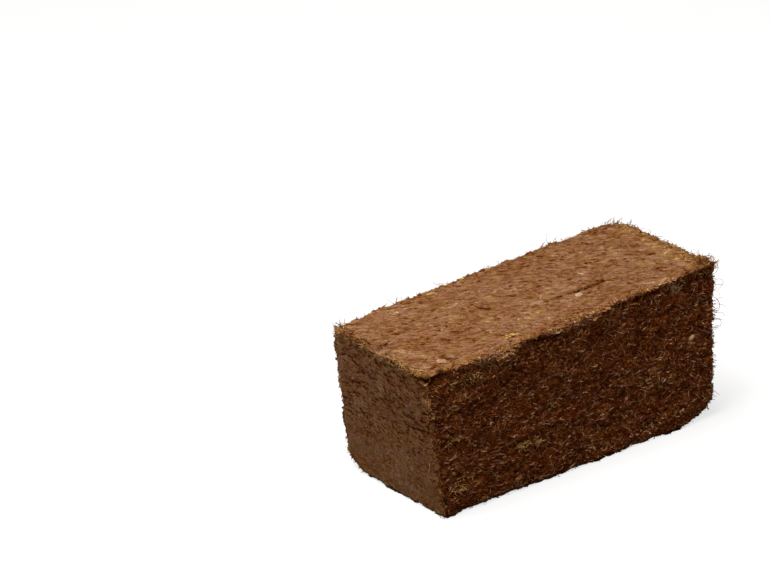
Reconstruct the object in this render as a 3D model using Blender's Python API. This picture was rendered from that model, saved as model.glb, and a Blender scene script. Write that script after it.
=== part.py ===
"""A block of compressed coconut coir, as one solid lying on its long side.

The block is a box that came out of its mould a little crooked: taller at the right end, with ends
that lean in towards the floor. Two of its bottom corners are broken off, the front edge of the top
slumps in two steps, a layer has split off under it at the left end, and the two long sides, where
the fibres are torn, are lumpy.

X runs along the length, Y from the front to the back, Z up. Lengths are in metres.
"""

import bmesh
import bpy
from mathutils import Vector, noise

NAME = "coir_bale"

# Driving dimensions of the block
LENGTH = 0.2040              # between the upper corners
DEPTH = 0.0910               # from the front side to the back
HEIGHT_LEFT = 0.0896         # at the left end
HEIGHT_RIGHT_FRONT = 0.0965  # at the right end, where it rose when it came out of the mould
HEIGHT_RIGHT_BACK = 0.0944
EDGE_RADIUS = 0.0016         # edges, blunted by handling

# How far each lower corner stands in from the upper one, because the ends lean
LEAN_LEFT_FRONT = 0.0070
LEAN_LEFT_BACK = 0.0034
LEAN_RIGHT_FRONT = 0.0040
LEAN_RIGHT_BACK = 0.0010
TOE_FRONT_RIGHT = 0.0028     # the foot of the front stands out at the right end

# Grid of the surface: cells along each edge, drawn together towards the edges
CELLS_LENGTH = 50
CELLS_DEPTH = 23
CELLS_HEIGHT = 23
CROWDING = 0.28

# Relief of the faces: how high it is, and how wide its swells and lumps are
TORN_SWELL = 0.0012          # the torn front and back
TORN_LUMP = 0.0019
PRESSED_SWELL = 0.0006       # the pressed top and ends
PRESSED_LUMP = 0.0005
SWELL_SIZE = 0.030
LUMP_SIZE = 0.0085
LUMP_STRETCH = 1.5           # the layers run along the length, and the lumps with them
RIM_HEIGHT = 0.0012          # burr of fibres that the mould leaves along the upper edges
RIM_WIDTH = 0.0045
TUFT_SIZE = 0.006

# Slumped stretches of the front edge of the top: start, end and drop. Each ends in a step.
SLUMPS = ((-0.064, -0.039, 0.0044), (-0.024, 0.022, 0.0032))
SLUMP_BULGE = 0.0016         # how far the front swells under them
SLUMP_WIDTH = 0.0095
SLUMP_STEP = 0.0035
SLUMP_RAMP = 0.0100

# Split under the edge of the top, at the left end of the front
SPLIT_FROM, SPLIT_TO = -0.099, -0.083
SPLIT_HIGH, SPLIT_LOW = 0.0008, 0.0070  # below the top
SPLIT_FADE = 0.0022
SPLIT_DEPTH = 0.0034

# Cracks in the top, where layers end: start, end, width and depth
CRACKS = (
    ((0.011, -0.0150), (0.049, -0.0172), 0.0040, 0.0014),
    ((-0.104, 0.0055), (-0.091, 0.0085), 0.0036, 0.0018),
)

# Broken corners: the corner's sides (x, y, z) and how far along each edge the break runs
BREAKS = (
    ((-1, 1, 0), (0.010, 0.017, 0.010)),
    ((1, -1, 0), (0.026, 0.011, 0.015)),
    ((1, 1, 0), (0.010, 0.008, 0.008)),
    ((1, 1, 1), (0.010, 0.009, 0.006)),
    ((-1, 1, 1), (0.005, 0.005, 0.004)),
)
BREAK_ROUGHNESS = 0.25

FOOT_MARGIN = 0.0065         # width of the strip round the underside that isn't flat
COIR_COLOUR = (0.21, 0.095, 0.040, 1.0)
COIR_ROUGHNESS = 0.95


def mix(a, b, share):
    """The value between a and b at this share of the way."""
    return a + (b - a) * share


def fade(value, start, end):
    """0 at start, 1 at end, eased at both."""
    share = min(1.0, max(0.0, (value - start) / (end - start)))
    return share * share * (3 - 2 * share)


def crowded(t):
    """t from -1 to 1, moved towards the nearer end so that the cells are small at the edges."""
    return t * (1 + CROWDING * (1 - t * t))


def rounded(p, half):
    """Point p of a box's surface on the same box with rounded edges, and the way out there."""
    inner = Vector(max(EDGE_RADIUS - h, min(h - EDGE_RADIUS, c)) for c, h in zip(p, half))
    out = (p - inner).normalized()
    return inner + out * EDGE_RADIUS, out


def leaned(u, v, w):
    """The place in the crooked block of box coordinates u, v from -1 to 1 and w from 0 to 1."""
    right, back, down = (u + 1) / 2, (v + 1) / 2, 1 - w
    x_left = -LENGTH / 2 + mix(LEAN_LEFT_FRONT, LEAN_LEFT_BACK, back) * down
    x_right = LENGTH / 2 - mix(LEAN_RIGHT_FRONT, LEAN_RIGHT_BACK, back) * down
    y_front = -DEPTH / 2 - TOE_FRONT_RIGHT * down * right
    height = mix(HEIGHT_LEFT, mix(HEIGHT_RIGHT_FRONT, HEIGHT_RIGHT_BACK, back), right)
    return Vector((mix(x_left, x_right, right), mix(y_front, DEPTH / 2, back), w * height))


def relief(p, out, half):
    """How far the surface stands out at box point p, whose way out is out."""
    torn = abs(out.y)
    along = Vector((p.x / LUMP_STRETCH, p.y, p.z))
    swell = noise.noise(p / SWELL_SIZE + Vector((3.1, 7.7, 1.3)))
    lump = noise.noise(along / LUMP_SIZE + Vector((9.2, 0.4, 5.8)))
    height = swell * mix(PRESSED_SWELL, TORN_SWELL, torn) + lump * mix(PRESSED_LUMP, TORN_LUMP, torn)
    below_top = half.z - p.z
    from_edge = max(below_top, min(half.x - abs(p.x), half.y - abs(p.y)))
    if from_edge < RIM_WIDTH:
        tuft = 0.5 + noise.noise(p / TUFT_SIZE + Vector((1.7, 2.9, 8.1)))
        height += RIM_HEIGHT * tuft * (1 - from_edge / RIM_WIDTH)
    return height


def slumped(p, top, front):
    """Lets the front edge of the top down, and swells the front under it."""
    drop = 0.0
    for start, end, most in SLUMPS:
        rise = fade(p.x, start, start + SLUMP_RAMP)
        step = fade(p.x, end - SLUMP_STEP / 2, end + SLUMP_STEP / 2)
        drop += most * rise * (1 - step)
    near_edge = max(0.0, 1 - (p.y - front) / SLUMP_WIDTH)
    near_top = max(0.0, 1 - (top - p.z) / (2 * SLUMP_WIDTH))
    near = near_edge * near_top
    bulge = SLUMP_BULGE if drop else 0.0
    return p - Vector((0, bulge * near * min(1.0, drop / SLUMP_BULGE), drop * near ** 2))


def split(p, top, front):
    """Sinks the front under the edge of the top, at the left end."""
    below = top - p.z
    along = fade(p.x, SPLIT_FROM, SPLIT_FROM + SPLIT_FADE) * fade(p.x, SPLIT_TO, SPLIT_TO - 2 * SPLIT_FADE)
    up = fade(below, SPLIT_HIGH, SPLIT_HIGH + SPLIT_FADE) * fade(below, SPLIT_LOW, SPLIT_LOW - SPLIT_FADE)
    near = fade(p.y - front, SPLIT_DEPTH + SPLIT_FADE, SPLIT_FADE)
    return p + Vector((0, SPLIT_DEPTH * along * up * near, 0))


def cracked(p, top):
    """Sinks the cracks in the top."""
    if top - p.z > EDGE_RADIUS:
        return p
    for start, end, width, depth in CRACKS:
        first, run = Vector(start), Vector(end) - Vector(start)
        share = min(1.0, max(0.0, (p.xy - first).dot(run) / run.length_squared))
        away = (p.xy - first - run * share).length
        p = p - Vector((0, 0, depth * fade(away, width, 0)))
    return p


def broken(p):
    """Moves what lies outside a broken corner back to the plane of the break."""
    for (side_x, side_y, side_z), along in BREAKS:
        corner = leaned(side_x, side_y, side_z)
        inward = (-side_x, -side_y, 1 - 2 * side_z)
        across = Vector(way / length for way, length in zip(inward, along))
        beyond = (1 - (p - corner).dot(across)) / across.length
        if beyond > 0:
            rough = 1 + BREAK_ROUGHNESS * noise.noise(p / LUMP_SIZE)
            p = p + across.normalized() * beyond * rough
    return p


def surface_point(unit):
    """Where a point of the unit cube's surface goes on the block."""
    half = Vector((LENGTH, DEPTH, (HEIGHT_LEFT + HEIGHT_RIGHT_FRONT) / 2)) / 2
    box = Vector(crowded(2 * c) * h for c, h in zip(unit, half))
    on_edge, out = rounded(box, half)
    u, v, w = on_edge.x / half.x, on_edge.y / half.y, (on_edge.z / half.z + 1) / 2
    top, front = leaned(u, v, 1).z, leaned(u, -1, w).y
    p = leaned(u, v, w) + out * relief(box, out, half)
    p = broken(cracked(split(slumped(p, top, front), top, front), top))
    foot = out.z < 0 and min(half.x - abs(box.x), half.y - abs(box.y)) > FOOT_MARGIN
    return Vector((p.x, p.y, 0.0 if foot else max(0.0, p.z)))


def gridded_cube(bm):
    """A unit cube whose faces are cut into the grid's cells."""
    bmesh.ops.create_cube(bm, size=1.0)
    for axis, cells in enumerate((CELLS_LENGTH, CELLS_DEPTH, CELLS_HEIGHT)):
        along = [e for e in bm.edges if abs((e.verts[0].co - e.verts[1].co)[axis]) > 0.5]
        bmesh.ops.subdivide_edges(bm, edges=along, cuts=cells - 1, use_grid_fill=True)


def centre_on_floor(bm):
    """Puts the origin under the middle of the block, on the floor."""
    low = Vector(min(v.co[i] for v in bm.verts) for i in range(3))
    high = Vector(max(v.co[i] for v in bm.verts) for i in range(3))
    middle = (low + high) / 2
    bmesh.ops.translate(bm, verts=bm.verts, vec=(-middle.x, -middle.y, -low.z))


def block_mesh():
    """The block's mesh: a gridded cube whose points are put in their places."""
    bm = bmesh.new()
    gridded_cube(bm)
    for vert in bm.verts:
        vert.co = surface_point(vert.co.copy())
    centre_on_floor(bm)
    underside = [f for f in bm.faces if all(v.co.z == 0 for v in f.verts)]
    bmesh.ops.dissolve_faces(bm, faces=underside)
    bmesh.ops.recalc_face_normals(bm, faces=bm.faces)
    mesh = bpy.data.meshes.new(NAME)
    bm.to_mesh(mesh)
    bm.free()
    return mesh


def coir_material():
    """Brown, matt coir."""
    material = bpy.data.materials.new("coir")
    material.use_nodes = True
    shader = material.node_tree.nodes["Principled BSDF"]
    shader.inputs["Base Color"].default_value = COIR_COLOUR
    shader.inputs["Roughness"].default_value = COIR_ROUGHNESS
    shader.inputs["Metallic"].default_value = 0.0
    return material


def main():
    """Clears the scene and makes the block in a collection of its own."""
    for old in list(bpy.data.objects):
        bpy.data.objects.remove(old)
    collection = bpy.data.collections.new("coconut coir bale")
    bpy.context.scene.collection.children.link(collection)
    mesh = block_mesh()
    mesh.materials.append(coir_material())
    mesh.shade_smooth()
    block = bpy.data.objects.new(NAME, mesh)
    collection.objects.link(block)


main()
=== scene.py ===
"""The look of a small bale of compressed coconut coir, lying on its long side on a pale floor.

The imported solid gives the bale's form. A finer skin is laid over it and roughened, and the loose
matter of the surface is added as meshes: curly fibres matted on the two torn long sides, crumbs of
pith between them, flakes and fibres pressed into the other faces, a fringe of fibres along the
edges, and tufts, chips and single strands in certain places.

X runs along the length, Y from the front to the back, Z up. Lengths are in metres.
"""

import itertools
import logging
import math
from dataclasses import dataclass, field
from enum import Enum
from typing import Any

import bpy
import numpy as np
from bpy.types import Material, NodeSocket as Socket, NodeTree as Tree, Object
from mathutils import Matrix, Vector
from mathutils.bvhtree import BVHTree
from numpy import ndarray as Array
from numpy.random import Generator


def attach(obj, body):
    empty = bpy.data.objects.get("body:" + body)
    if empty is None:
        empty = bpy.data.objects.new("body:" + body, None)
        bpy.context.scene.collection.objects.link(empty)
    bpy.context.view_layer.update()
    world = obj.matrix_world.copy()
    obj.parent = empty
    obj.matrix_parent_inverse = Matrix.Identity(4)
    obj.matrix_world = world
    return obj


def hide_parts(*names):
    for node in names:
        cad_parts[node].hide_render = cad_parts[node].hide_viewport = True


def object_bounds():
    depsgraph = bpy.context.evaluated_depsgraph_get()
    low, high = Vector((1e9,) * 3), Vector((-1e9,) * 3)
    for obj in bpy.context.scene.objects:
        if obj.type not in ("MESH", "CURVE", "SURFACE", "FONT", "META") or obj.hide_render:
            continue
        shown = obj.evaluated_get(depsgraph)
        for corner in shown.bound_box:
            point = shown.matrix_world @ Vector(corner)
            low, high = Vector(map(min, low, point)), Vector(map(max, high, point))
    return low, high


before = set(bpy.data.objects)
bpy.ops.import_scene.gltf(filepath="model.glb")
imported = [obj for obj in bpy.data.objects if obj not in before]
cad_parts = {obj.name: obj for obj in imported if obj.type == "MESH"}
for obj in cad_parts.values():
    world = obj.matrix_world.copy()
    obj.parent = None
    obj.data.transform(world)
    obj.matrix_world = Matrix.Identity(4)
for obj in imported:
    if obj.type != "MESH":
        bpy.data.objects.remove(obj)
CAD_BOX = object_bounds()

NODE = "coir_bale"
MM = 0.001
FARTHEST = 9 * MM  # how far a hair may stand out of the solid's box
OPEN = 1.0  # room where nothing is near
BARE = -0.3  # marks that are darker than this have no loose matter on them
LOWEST = 0.55 * MM  # how low the middle of a fibre may lie
THINNEST = 0.03 * MM  # the least radius of a fibre
ROOT = 0.4 * MM  # how deep in the surface a curling fibre starts
UNREST = 0.12  # how much the way of a curling fibre changes by chance at each ring
LOG = logging.getLogger("coir_bale")
Triple = tuple[float, float, float]


class Side(Enum):
    """A face of the bale: the axis that it looks along, and which way."""

    LEFT = (0, -1)
    RIGHT = (0, 1)
    FRONT = (1, -1)
    BACK = (1, 1)
    UNDER = (2, -1)
    TOP = (2, 1)

    @property
    def axis(self) -> int:
        """The axis that the face looks along: 0, 1 or 2."""
        return self.value[0]

    @property
    def outward(self) -> Array:
        """The unit vector out of the face."""
        way = np.zeros(3)
        way[self.axis] = self.value[1]
        return way

    @property
    def spans(self) -> tuple[int, int]:
        """The two axes that the face stretches along, the longer one first."""
        return {0: (1, 2), 1: (0, 2), 2: (0, 1)}[self.axis]


# Noise that is the same on each run


def hashed(cell: Array, seed: int) -> Array:
    """Gives each whole-number cell a number of its own.

    Args:
        cell: Whole numbers, shaped (..., 3).
        seed: Another seed gives other numbers.

    Returns:
        Numbers from 0 to 1, shaped (...).
    """
    c = cell.astype(np.int64).astype(np.uint32)
    h = c[..., 0] * np.uint32(374761393) + c[..., 1] * np.uint32(668265263)
    h = h + c[..., 2] * np.uint32(2246822519) + np.uint32(seed * 40503 + 1013)
    h = (h ^ (h >> np.uint32(15))) * np.uint32(2654435761)
    h = (h ^ (h >> np.uint32(13))) * np.uint32(3266489917)
    return (h ^ (h >> np.uint32(16))) / 4294967296.0


def noise(points: Array, size: Any, seed: int) -> Array:
    """Smooth noise.

    Args:
        points: Places, shaped (n, 3).
        size: Width of a lump, as one length or one for each axis.
        seed: Which noise.

    Returns:
        Numbers from -1 to 1, shaped (n,).
    """
    place = points / np.asarray(size, float)
    cell = np.floor(place)
    part = place - cell
    part = part * part * (3 - 2 * part)
    total = np.zeros(len(points))
    for corner in itertools.product((0, 1), repeat=3):
        weight = np.prod(np.where(np.array(corner) == 1, part, 1 - part), axis=1)
        total += weight * hashed(cell + corner, seed)
    return 2 * total - 1


def rough_noise(points: Array, size: Any, seed: int, octaves: int = 3) -> Array:
    """Noise with finer noise on it.

    Args:
        points: Places, shaped (n, 3).
        size: Width of the largest lumps.
        seed: Which noise.
        octaves: How many noises, each half as wide and a little over half as strong.

    Returns:
        Numbers from about -1 to 1, shaped (n,).
    """
    total, strength, weights = np.zeros(len(points)), 1.0, 0.0
    for octave in range(octaves):
        total += strength * noise(points, np.asarray(size, float) / 2**octave, seed + octave)
        weights += strength
        strength *= 0.55
    return total / weights


def plates(points: Array, size: Any, seed: int) -> tuple[Array, Array]:
    """Splits space into irregular plates.

    Args:
        points: Places, shaped (n, 3).
        size: Width of a plate along each axis.
        seed: Which plates.

    Returns:
        A number from 0 to 1 for the plate each place is in, and how near the place is to the
        plate's rim, from 0 on the rim to about 1 in the middle.
    """
    place = points / np.asarray(size, float)
    cell = np.floor(place)
    first = np.full(len(points), 9.0)
    second = np.full(len(points), 9.0)
    number = np.zeros(len(points))
    for step in itertools.product((-1, 0, 1), repeat=3):
        near = cell + step
        seat = np.stack([hashed(near, seed + k) for k in (1, 2, 3)], axis=1)
        away = np.linalg.norm(near + seat - place, axis=1)
        closer = away < first
        second = np.where(closer, first, np.minimum(second, away))
        number = np.where(closer, hashed(near, seed), number)
        first = np.where(closer, away, first)
    return number, second - first


def smooth_step(value: Array, start: float, end: float) -> Array:
    """0 at start and 1 at end, eased at both.

    Args:
        value: The numbers to map.
        start: Where the result is 0.
        end: Where the result is 1. It may be below start.

    Returns:
        Numbers from 0 to 1.
    """
    share = np.clip((value - start) / (end - start), 0, 1)
    return share * share * (3 - 2 * share)


def unit(vectors: Array) -> Array:
    """The vectors, each one long."""
    return vectors / np.maximum(np.linalg.norm(vectors, axis=-1, keepdims=True), 1e-12)


def on_line(line: Array, shares: Array) -> Array:
    """The points at shares of the length of a line, shaped (n, 3)."""
    length = np.concatenate([[0], np.cumsum(np.linalg.norm(np.diff(line, axis=0), axis=1))])
    return np.stack([np.interp(shares * length[-1], length, line[:, k]) for k in range(3)], axis=1)


def tapered(rings: int, share: float) -> Array:
    """How thick a fibre is at each ring, thinner by a share at its ends."""
    return 1 - share * np.abs(np.linspace(-1, 1, rings)) ** 3


# Meshes


def placed(name: str, data: Any) -> Object:
    """Makes an object and puts it in the scene."""
    thing = bpy.data.objects.new(name, data)
    bpy.context.scene.collection.objects.link(thing)
    return thing


@dataclass
class MeshParts:
    """A mesh in the making, as arrays. Each face corner has a place on the bake map.

    Triangles with a facet flag are shaded flat, and everything else is shaded smooth.
    """

    points: Array
    quads: Array = field(default_factory=lambda: np.zeros((0, 4), int))
    triangles: Array = field(default_factory=lambda: np.zeros((0, 3), int))
    quad_map: Array = field(default_factory=lambda: np.zeros((0, 4, 2)))
    triangle_map: Array = field(default_factory=lambda: np.zeros((0, 3, 2)))
    facets: Array = field(default_factory=lambda: np.zeros(0, bool))
    values: dict[str, Array] = field(default_factory=dict)

    @staticmethod
    def joined(parts: list["MeshParts"]) -> "MeshParts":
        """One mesh of several.

        Args:
            parts: Meshes with the same named values.

        Returns:
            The mesh of them all.
        """
        starts = np.cumsum([0] + [len(p.points) for p in parts])
        same = ("points", "quad_map", "triangle_map", "facets")
        arrays = {k: np.concatenate([getattr(p, k) for p in parts]) for k in same}
        for k in ("quads", "triangles"):
            arrays[k] = np.concatenate([getattr(p, k) + s for p, s in zip(parts, starts)])
        values = {k: np.concatenate([p.values[k] for p in parts]) for k in parts[0].values}
        return MeshParts(values=values, **arrays)

    def piece(self, name: str, material: Material) -> Object:
        """Makes the mesh an object of the scene that rides with the bale.

        Args:
            name: The piece's name.
            material: Its material.

        Returns:
            The new object.
        """
        mesh = bpy.data.meshes.new(name)
        corners = np.concatenate([self.quads.ravel(), self.triangles.ravel()]).astype(np.int32)
        counts = np.repeat([4, 3], [len(self.quads), len(self.triangles)]).astype(np.int32)
        starts = np.concatenate([[0], np.cumsum(counts)[:-1]]).astype(np.int32)
        mesh.vertices.add(len(self.points))
        mesh.vertices.foreach_set("co", self.points.astype(np.float32).ravel())
        mesh.loops.add(len(corners))
        mesh.loops.foreach_set("vertex_index", corners)
        mesh.polygons.add(len(counts))
        mesh.polygons.foreach_set("loop_start", starts)
        mesh.polygons.foreach_set("loop_total", counts)
        mesh.update(calc_edges=True)
        layer = mesh.uv_layers.new(name="OFBake")
        places = np.concatenate([self.quad_map.reshape(-1, 2), self.triangle_map.reshape(-1, 2)])
        layer.data.foreach_set("uv", places.astype(np.float32).ravel())
        for label, numbers in self.values.items():
            attribute = mesh.attributes.new(label, "FLOAT", "POINT")
            attribute.data.foreach_set("value", numbers.astype(np.float32))
        smooth = np.concatenate([np.ones(len(self.quads), bool), ~self.facets])
        mesh.polygons.foreach_set("use_smooth", smooth)
        mesh.materials.append(material)
        thing = placed(name, mesh)
        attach(thing, "root")
        LOG.info("%s: %d triangles", name, 2 * len(self.quads) + len(self.triangles))
        return thing


def bake_cells(count: int) -> tuple[Array, float]:
    """Lays out the bake map of many small things as a square of equal cells.

    Args:
        count: How many things there are.

    Returns:
        The lower left corner of each thing's cell, shaped (count, 2), and the width of a cell
        that may be filled.
    """
    gutter = 0.06  # share of a cell along each side that stays empty
    across = math.ceil(math.sqrt(count))
    number = np.arange(count)
    corners = np.stack([number % across, number // across], axis=1) / across
    return corners + gutter / across, (1 - 2 * gutter) / across


def tubes(lines: Array, radii: Array, values: dict[str, Array]) -> MeshParts:
    """Three-sided tubes along lines, closed at both ends.

    Args:
        lines: Points of each line, shaped (n, m, 3).
        radii: The tube's radius at each point, shaped (n, m).
        values: Named numbers, one for each line.

    Returns:
        The tubes as one mesh. Its bake map has a cell of its own for each tube.
    """
    count, rings = lines.shape[:2]
    askew = (0.31, 0.17, -0.23)  # keeps the first side apart from the line's way
    ways = unit(np.gradient(lines, axis=1))
    side = unit(np.cross(ways[:, 0], np.roll(ways[:, 0], 1, axis=-1) + askew))
    points = np.zeros((count, rings, 3, 3))
    for ring in range(rings):
        way = ways[:, ring]
        side = unit(side - way * np.sum(side * way, axis=1, keepdims=True))
        other = np.cross(way, side)
        for corner in range(3):
            turn = 2 * math.pi * corner / 3
            arm = side * math.cos(turn) + other * math.sin(turn)
            points[:, ring, corner] = lines[:, ring] + arm * radii[:, ring, None]
    tube, ring, corner = np.indices((count, rings - 1, 3))
    after = (corner + 1) % 3
    spot = (tube * rings + ring) * 3
    quads = np.stack([spot + corner, spot + after, spot + 3 + after, spot + 3 + corner], axis=-1)
    cell, width = bake_cells(count)
    along = np.stack([ring, ring, ring + 1, ring + 1], axis=-1) / (rings - 1)
    around = np.stack([corner, corner + 1, corner + 1, corner], axis=-1) / 3
    quad_map = cell[:, None, None, None] + width * np.stack([along, around], axis=-1)
    first = np.arange(count)[:, None] * rings * 3
    ends = np.stack([first + (2, 1, 0), first + (rings - 1) * 3 + (0, 1, 2)], axis=1)
    end_map = np.zeros((count, 2, 3, 2))
    end_map[:, 0] = cell[:, None] + width * np.array([(0, 0), (0, 0.3), (0, 0.6)])
    end_map[:, 1] = cell[:, None] + width * np.array([(1, 0), (1, 0.3), (1, 0.6)])
    return MeshParts(
        points=points.reshape(-1, 3),
        quads=quads.reshape(-1, 4),
        triangles=ends.reshape(-1, 3),
        quad_map=quad_map.reshape(-1, 4, 2),
        triangle_map=end_map.reshape(-1, 3, 2),
        facets=np.zeros(2 * count, bool),
        values={k: np.repeat(v, rings * 3) for k, v in values.items()},
    )


def packed_in_bands(parts: list[MeshParts]) -> MeshParts:
    """Joins meshes that each fill the bake map, giving each a band of it.

    Args:
        parts: The meshes.

    Returns:
        One mesh, whose bands are as high as each mesh has points.
    """
    shares = np.array([len(p.points) for p in parts], float)
    edges = np.concatenate([[0], np.cumsum(shares / shares.sum())])
    for part, low, high in zip(parts, edges, edges[1:]):
        for places in (part.quad_map, part.triangle_map):
            places[..., 1] = low + places[..., 1] * (high - low)
    return MeshParts.joined(parts)


@dataclass
class Seats:
    """Places for loose matter.

    Each has a point, the ways out of the bale and along it there, and its room: how far it is from
    the outline of its face.
    """

    points: Array
    outs: Array
    alongs: Array
    room: Array

    @staticmethod
    def joined(seats: list["Seats"]) -> "Seats":
        """All the places of several sets."""
        parts = ("points", "outs", "alongs", "room")
        return Seats(*(np.concatenate([getattr(s, k) for s in seats]) for k in parts))

    def turned(self, rng: Generator, slant: float, heading: Any = 0.0) -> "Seats":
        """The same places, each with its way along turned in the surface.

        Args:
            rng: The source of chance.
            slant: How far the turns usually differ, in degrees.
            heading: The turn in the middle of them.

        Returns:
            The new seats.
        """
        turn = np.radians(heading + slant * rng.standard_normal(len(self.points)))[:, None]
        across = np.cross(self.outs, self.alongs)
        return Seats(self.points, self.outs, self.alongs * np.cos(turn) + across * np.sin(turn), self.room)


class Shell:
    """The bale's surface, for finding places on it."""

    def __init__(self, points: Array, faces: Array, edges: dict | None = None) -> None:
        """Takes in a surface.

        Args:
            points: Its points.
            faces: Its faces, as point numbers.
            edges: The points along each edge, under the set of the two sides that meet there.
        """
        self.tree = BVHTree.FromPolygons(points.tolist(), faces.tolist())
        self.low, self.high = points.min(0), points.max(0)
        self.edges = edges or {}

    def reach(self, origins: Array, ways: Array) -> Array:
        """How far each ray goes before it meets the surface.

        Args:
            origins: Where the rays start, shaped (n, 3).
            ways: Unit vectors along them, shaped (n, 3) or (3,).

        Returns:
            Distances, with nan where a ray misses.
        """
        ways = np.broadcast_to(ways, origins.shape)
        found = [self.tree.ray_cast(o, w)[3] for o, w in zip(origins.tolist(), ways.tolist())]
        return np.array([np.nan if d is None else d for d in found])

    def height(self, side: Side, places: Array) -> Array:
        """The surface's coordinate on the side's axis, above places on that side.

        Args:
            side: Which face.
            places: Points whose coordinate on that axis doesn't matter, shaped (n, 3).

        Returns:
            The coordinates, with nan beyond the face's outline.
        """
        clear, deepest = 20 * MM, 34 * MM  # where the rays start, and how far they may go
        start = np.array(places, float)
        sign = side.outward[side.axis]
        far = (self.high if sign > 0 else self.low)[side.axis] + sign * clear
        start[:, side.axis] = far
        reach = self.reach(start, -side.outward)
        return far - sign * np.where(reach < deepest, reach, np.nan)

    def area(self, side: Side) -> float:
        """About how large a face is, in square metres."""
        return float(np.prod([(self.high - self.low)[k] for k in side.spans]))

    def shares(self, sides: tuple[Side, ...], count: int) -> list[tuple[Side, int]]:
        """Shares out a number of things over faces by their areas."""
        whole = sum(self.area(s) for s in sides)
        return [(s, round(count * self.area(s) / whole)) for s in sides]

    def on_side(self, rng: Generator, side: Side, count: int, inset: float = 0.8 * MM) -> Seats:
        """Even but irregular places on a face.

        Args:
            rng: The source of chance.
            side: The face.
            count: How many places. A few are lost where the face's outline is broken.
            inset: How far they keep from the face's outline.

        Returns:
            The places, with their ways along the face's longer span.
        """
        first, second = side.spans
        wide, high = ((self.high - self.low)[k] - 2 * inset for k in (first, second))
        columns = max(1, round(math.sqrt(count * wide / high)))
        rows = math.ceil(count / columns)
        number = rng.permutation(columns * rows)[:count]
        jitter = rng.random((count, 2))
        places = np.zeros((count, 3))
        places[:, first] = self.low[first] + inset + wide * (number % columns + jitter[:, 0]) / columns
        places[:, second] = self.low[second] + inset + high * (number // columns + jitter[:, 1]) / rows
        places[:, side.axis] = self.height(side, places)
        places = places[~np.isnan(places[:, side.axis])]
        places = places[mark_tone(places) > BARE]
        along = np.zeros(3)
        along[first] = 1
        spans = list(side.spans)
        room = np.minimum(places - self.low, self.high - places)[:, spans].min(axis=1)
        outs, alongs = (np.tile(way, (len(places), 1)) for way in (side.outward, along))
        return Seats(places, outs, alongs, room)

    def flattened(self, side: Side, seats: Seats) -> Seats:
        """Turns the ways out of places on a face to the slope of the surface.

        Args:
            side: The face.
            seats: The places.

        Returns:
            The new seats.
        """
        reach, steepest = 2.5 * MM, 0.16
        outs = seats.outs.copy()
        for span in side.spans:
            step = np.where(np.arange(3) == span, reach, 0)
            rise = self.height(side, seats.points + step) - self.height(side, seats.points - step)
            slope = np.clip(np.nan_to_num(rise / (2 * reach)), -steepest, steepest)
            outs[:, span] = -side.value[1] * slope
        return Seats(seats.points, unit(outs), seats.alongs, seats.room)

    def on_edge(self, rng: Generator, sides: tuple[Side, Side], count: int) -> Seats:
        """Places along an edge.

        Args:
            rng: The source of chance.
            sides: The two sides that meet there.
            count: How many places.

        Returns:
            The places. Their ways out point between the two sides' ways out.
        """
        line = self.edges[frozenset(sides)]
        points = on_line(line, np.sort(rng.random(count)))
        points = points[mark_tone(points) > BARE]
        count = len(points)
        way = unit(line[-1] - line[0])
        lean = rng.random((count, 1))
        least = 0.15  # share of each side's way out that all of them have
        outs = unit(sides[0].outward * (least + lean) + sides[1].outward * (1 + least - lean))
        return Seats(points, outs, np.tile(way, (count, 1)), np.full(count, OPEN))


@dataclass(frozen=True)
class CrookedBox:
    """The box that the bale's faces follow: it leans at both ends and rises to the right."""

    length: float = 0.2040
    depth: float = 0.0910
    height_left: float = 0.0896
    height_right_front: float = 0.0965
    height_right_back: float = 0.0944
    lean_left_front: float = 0.0070
    lean_left_back: float = 0.0034
    lean_right_front: float = 0.0040
    lean_right_back: float = 0.0010
    toe_front_right: float = 0.0028
    middle_x: float = -0.0002
    middle_y: float = 0.0009

    def at(self, place: Array) -> Array:
        """Turns places in the box into points.

        Args:
            place: Shares of the way along the box, each from -1 to 1, shaped (n, 3).

        Returns:
            Points in metres, shaped (n, 3).
        """
        right, back, up = ((place[:, k] + 1) / 2 for k in range(3))
        down = 1 - up
        x_left = -self.length / 2
        x_left = x_left + (self.lean_left_front * (1 - back) + self.lean_left_back * back) * down
        x_right = self.length / 2
        x_right = x_right - (self.lean_right_front * (1 - back) + self.lean_right_back * back) * down
        y_front = -self.depth / 2 - self.toe_front_right * down * right
        rise = self.height_right_front * (1 - back) + self.height_right_back * back
        height = self.height_left * (1 - right) + rise * right
        x = x_left + (x_right - x_left) * right + self.middle_x
        y = y_front + (self.depth / 2 - y_front) * back + self.middle_y
        return np.stack([x, y, up * height], axis=1)

    @property
    def half(self) -> Array:
        """Half of the box's usual size along each axis."""
        return np.array([self.length, self.depth, self.height_left]) / 2


# Shading


MOST = (0.25, 0.75)  # most of a noise is between these
CORE = (0.3, 0.7)
ROUGH = (3.0, 0.6)  # detail and roughness of rough noise


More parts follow.
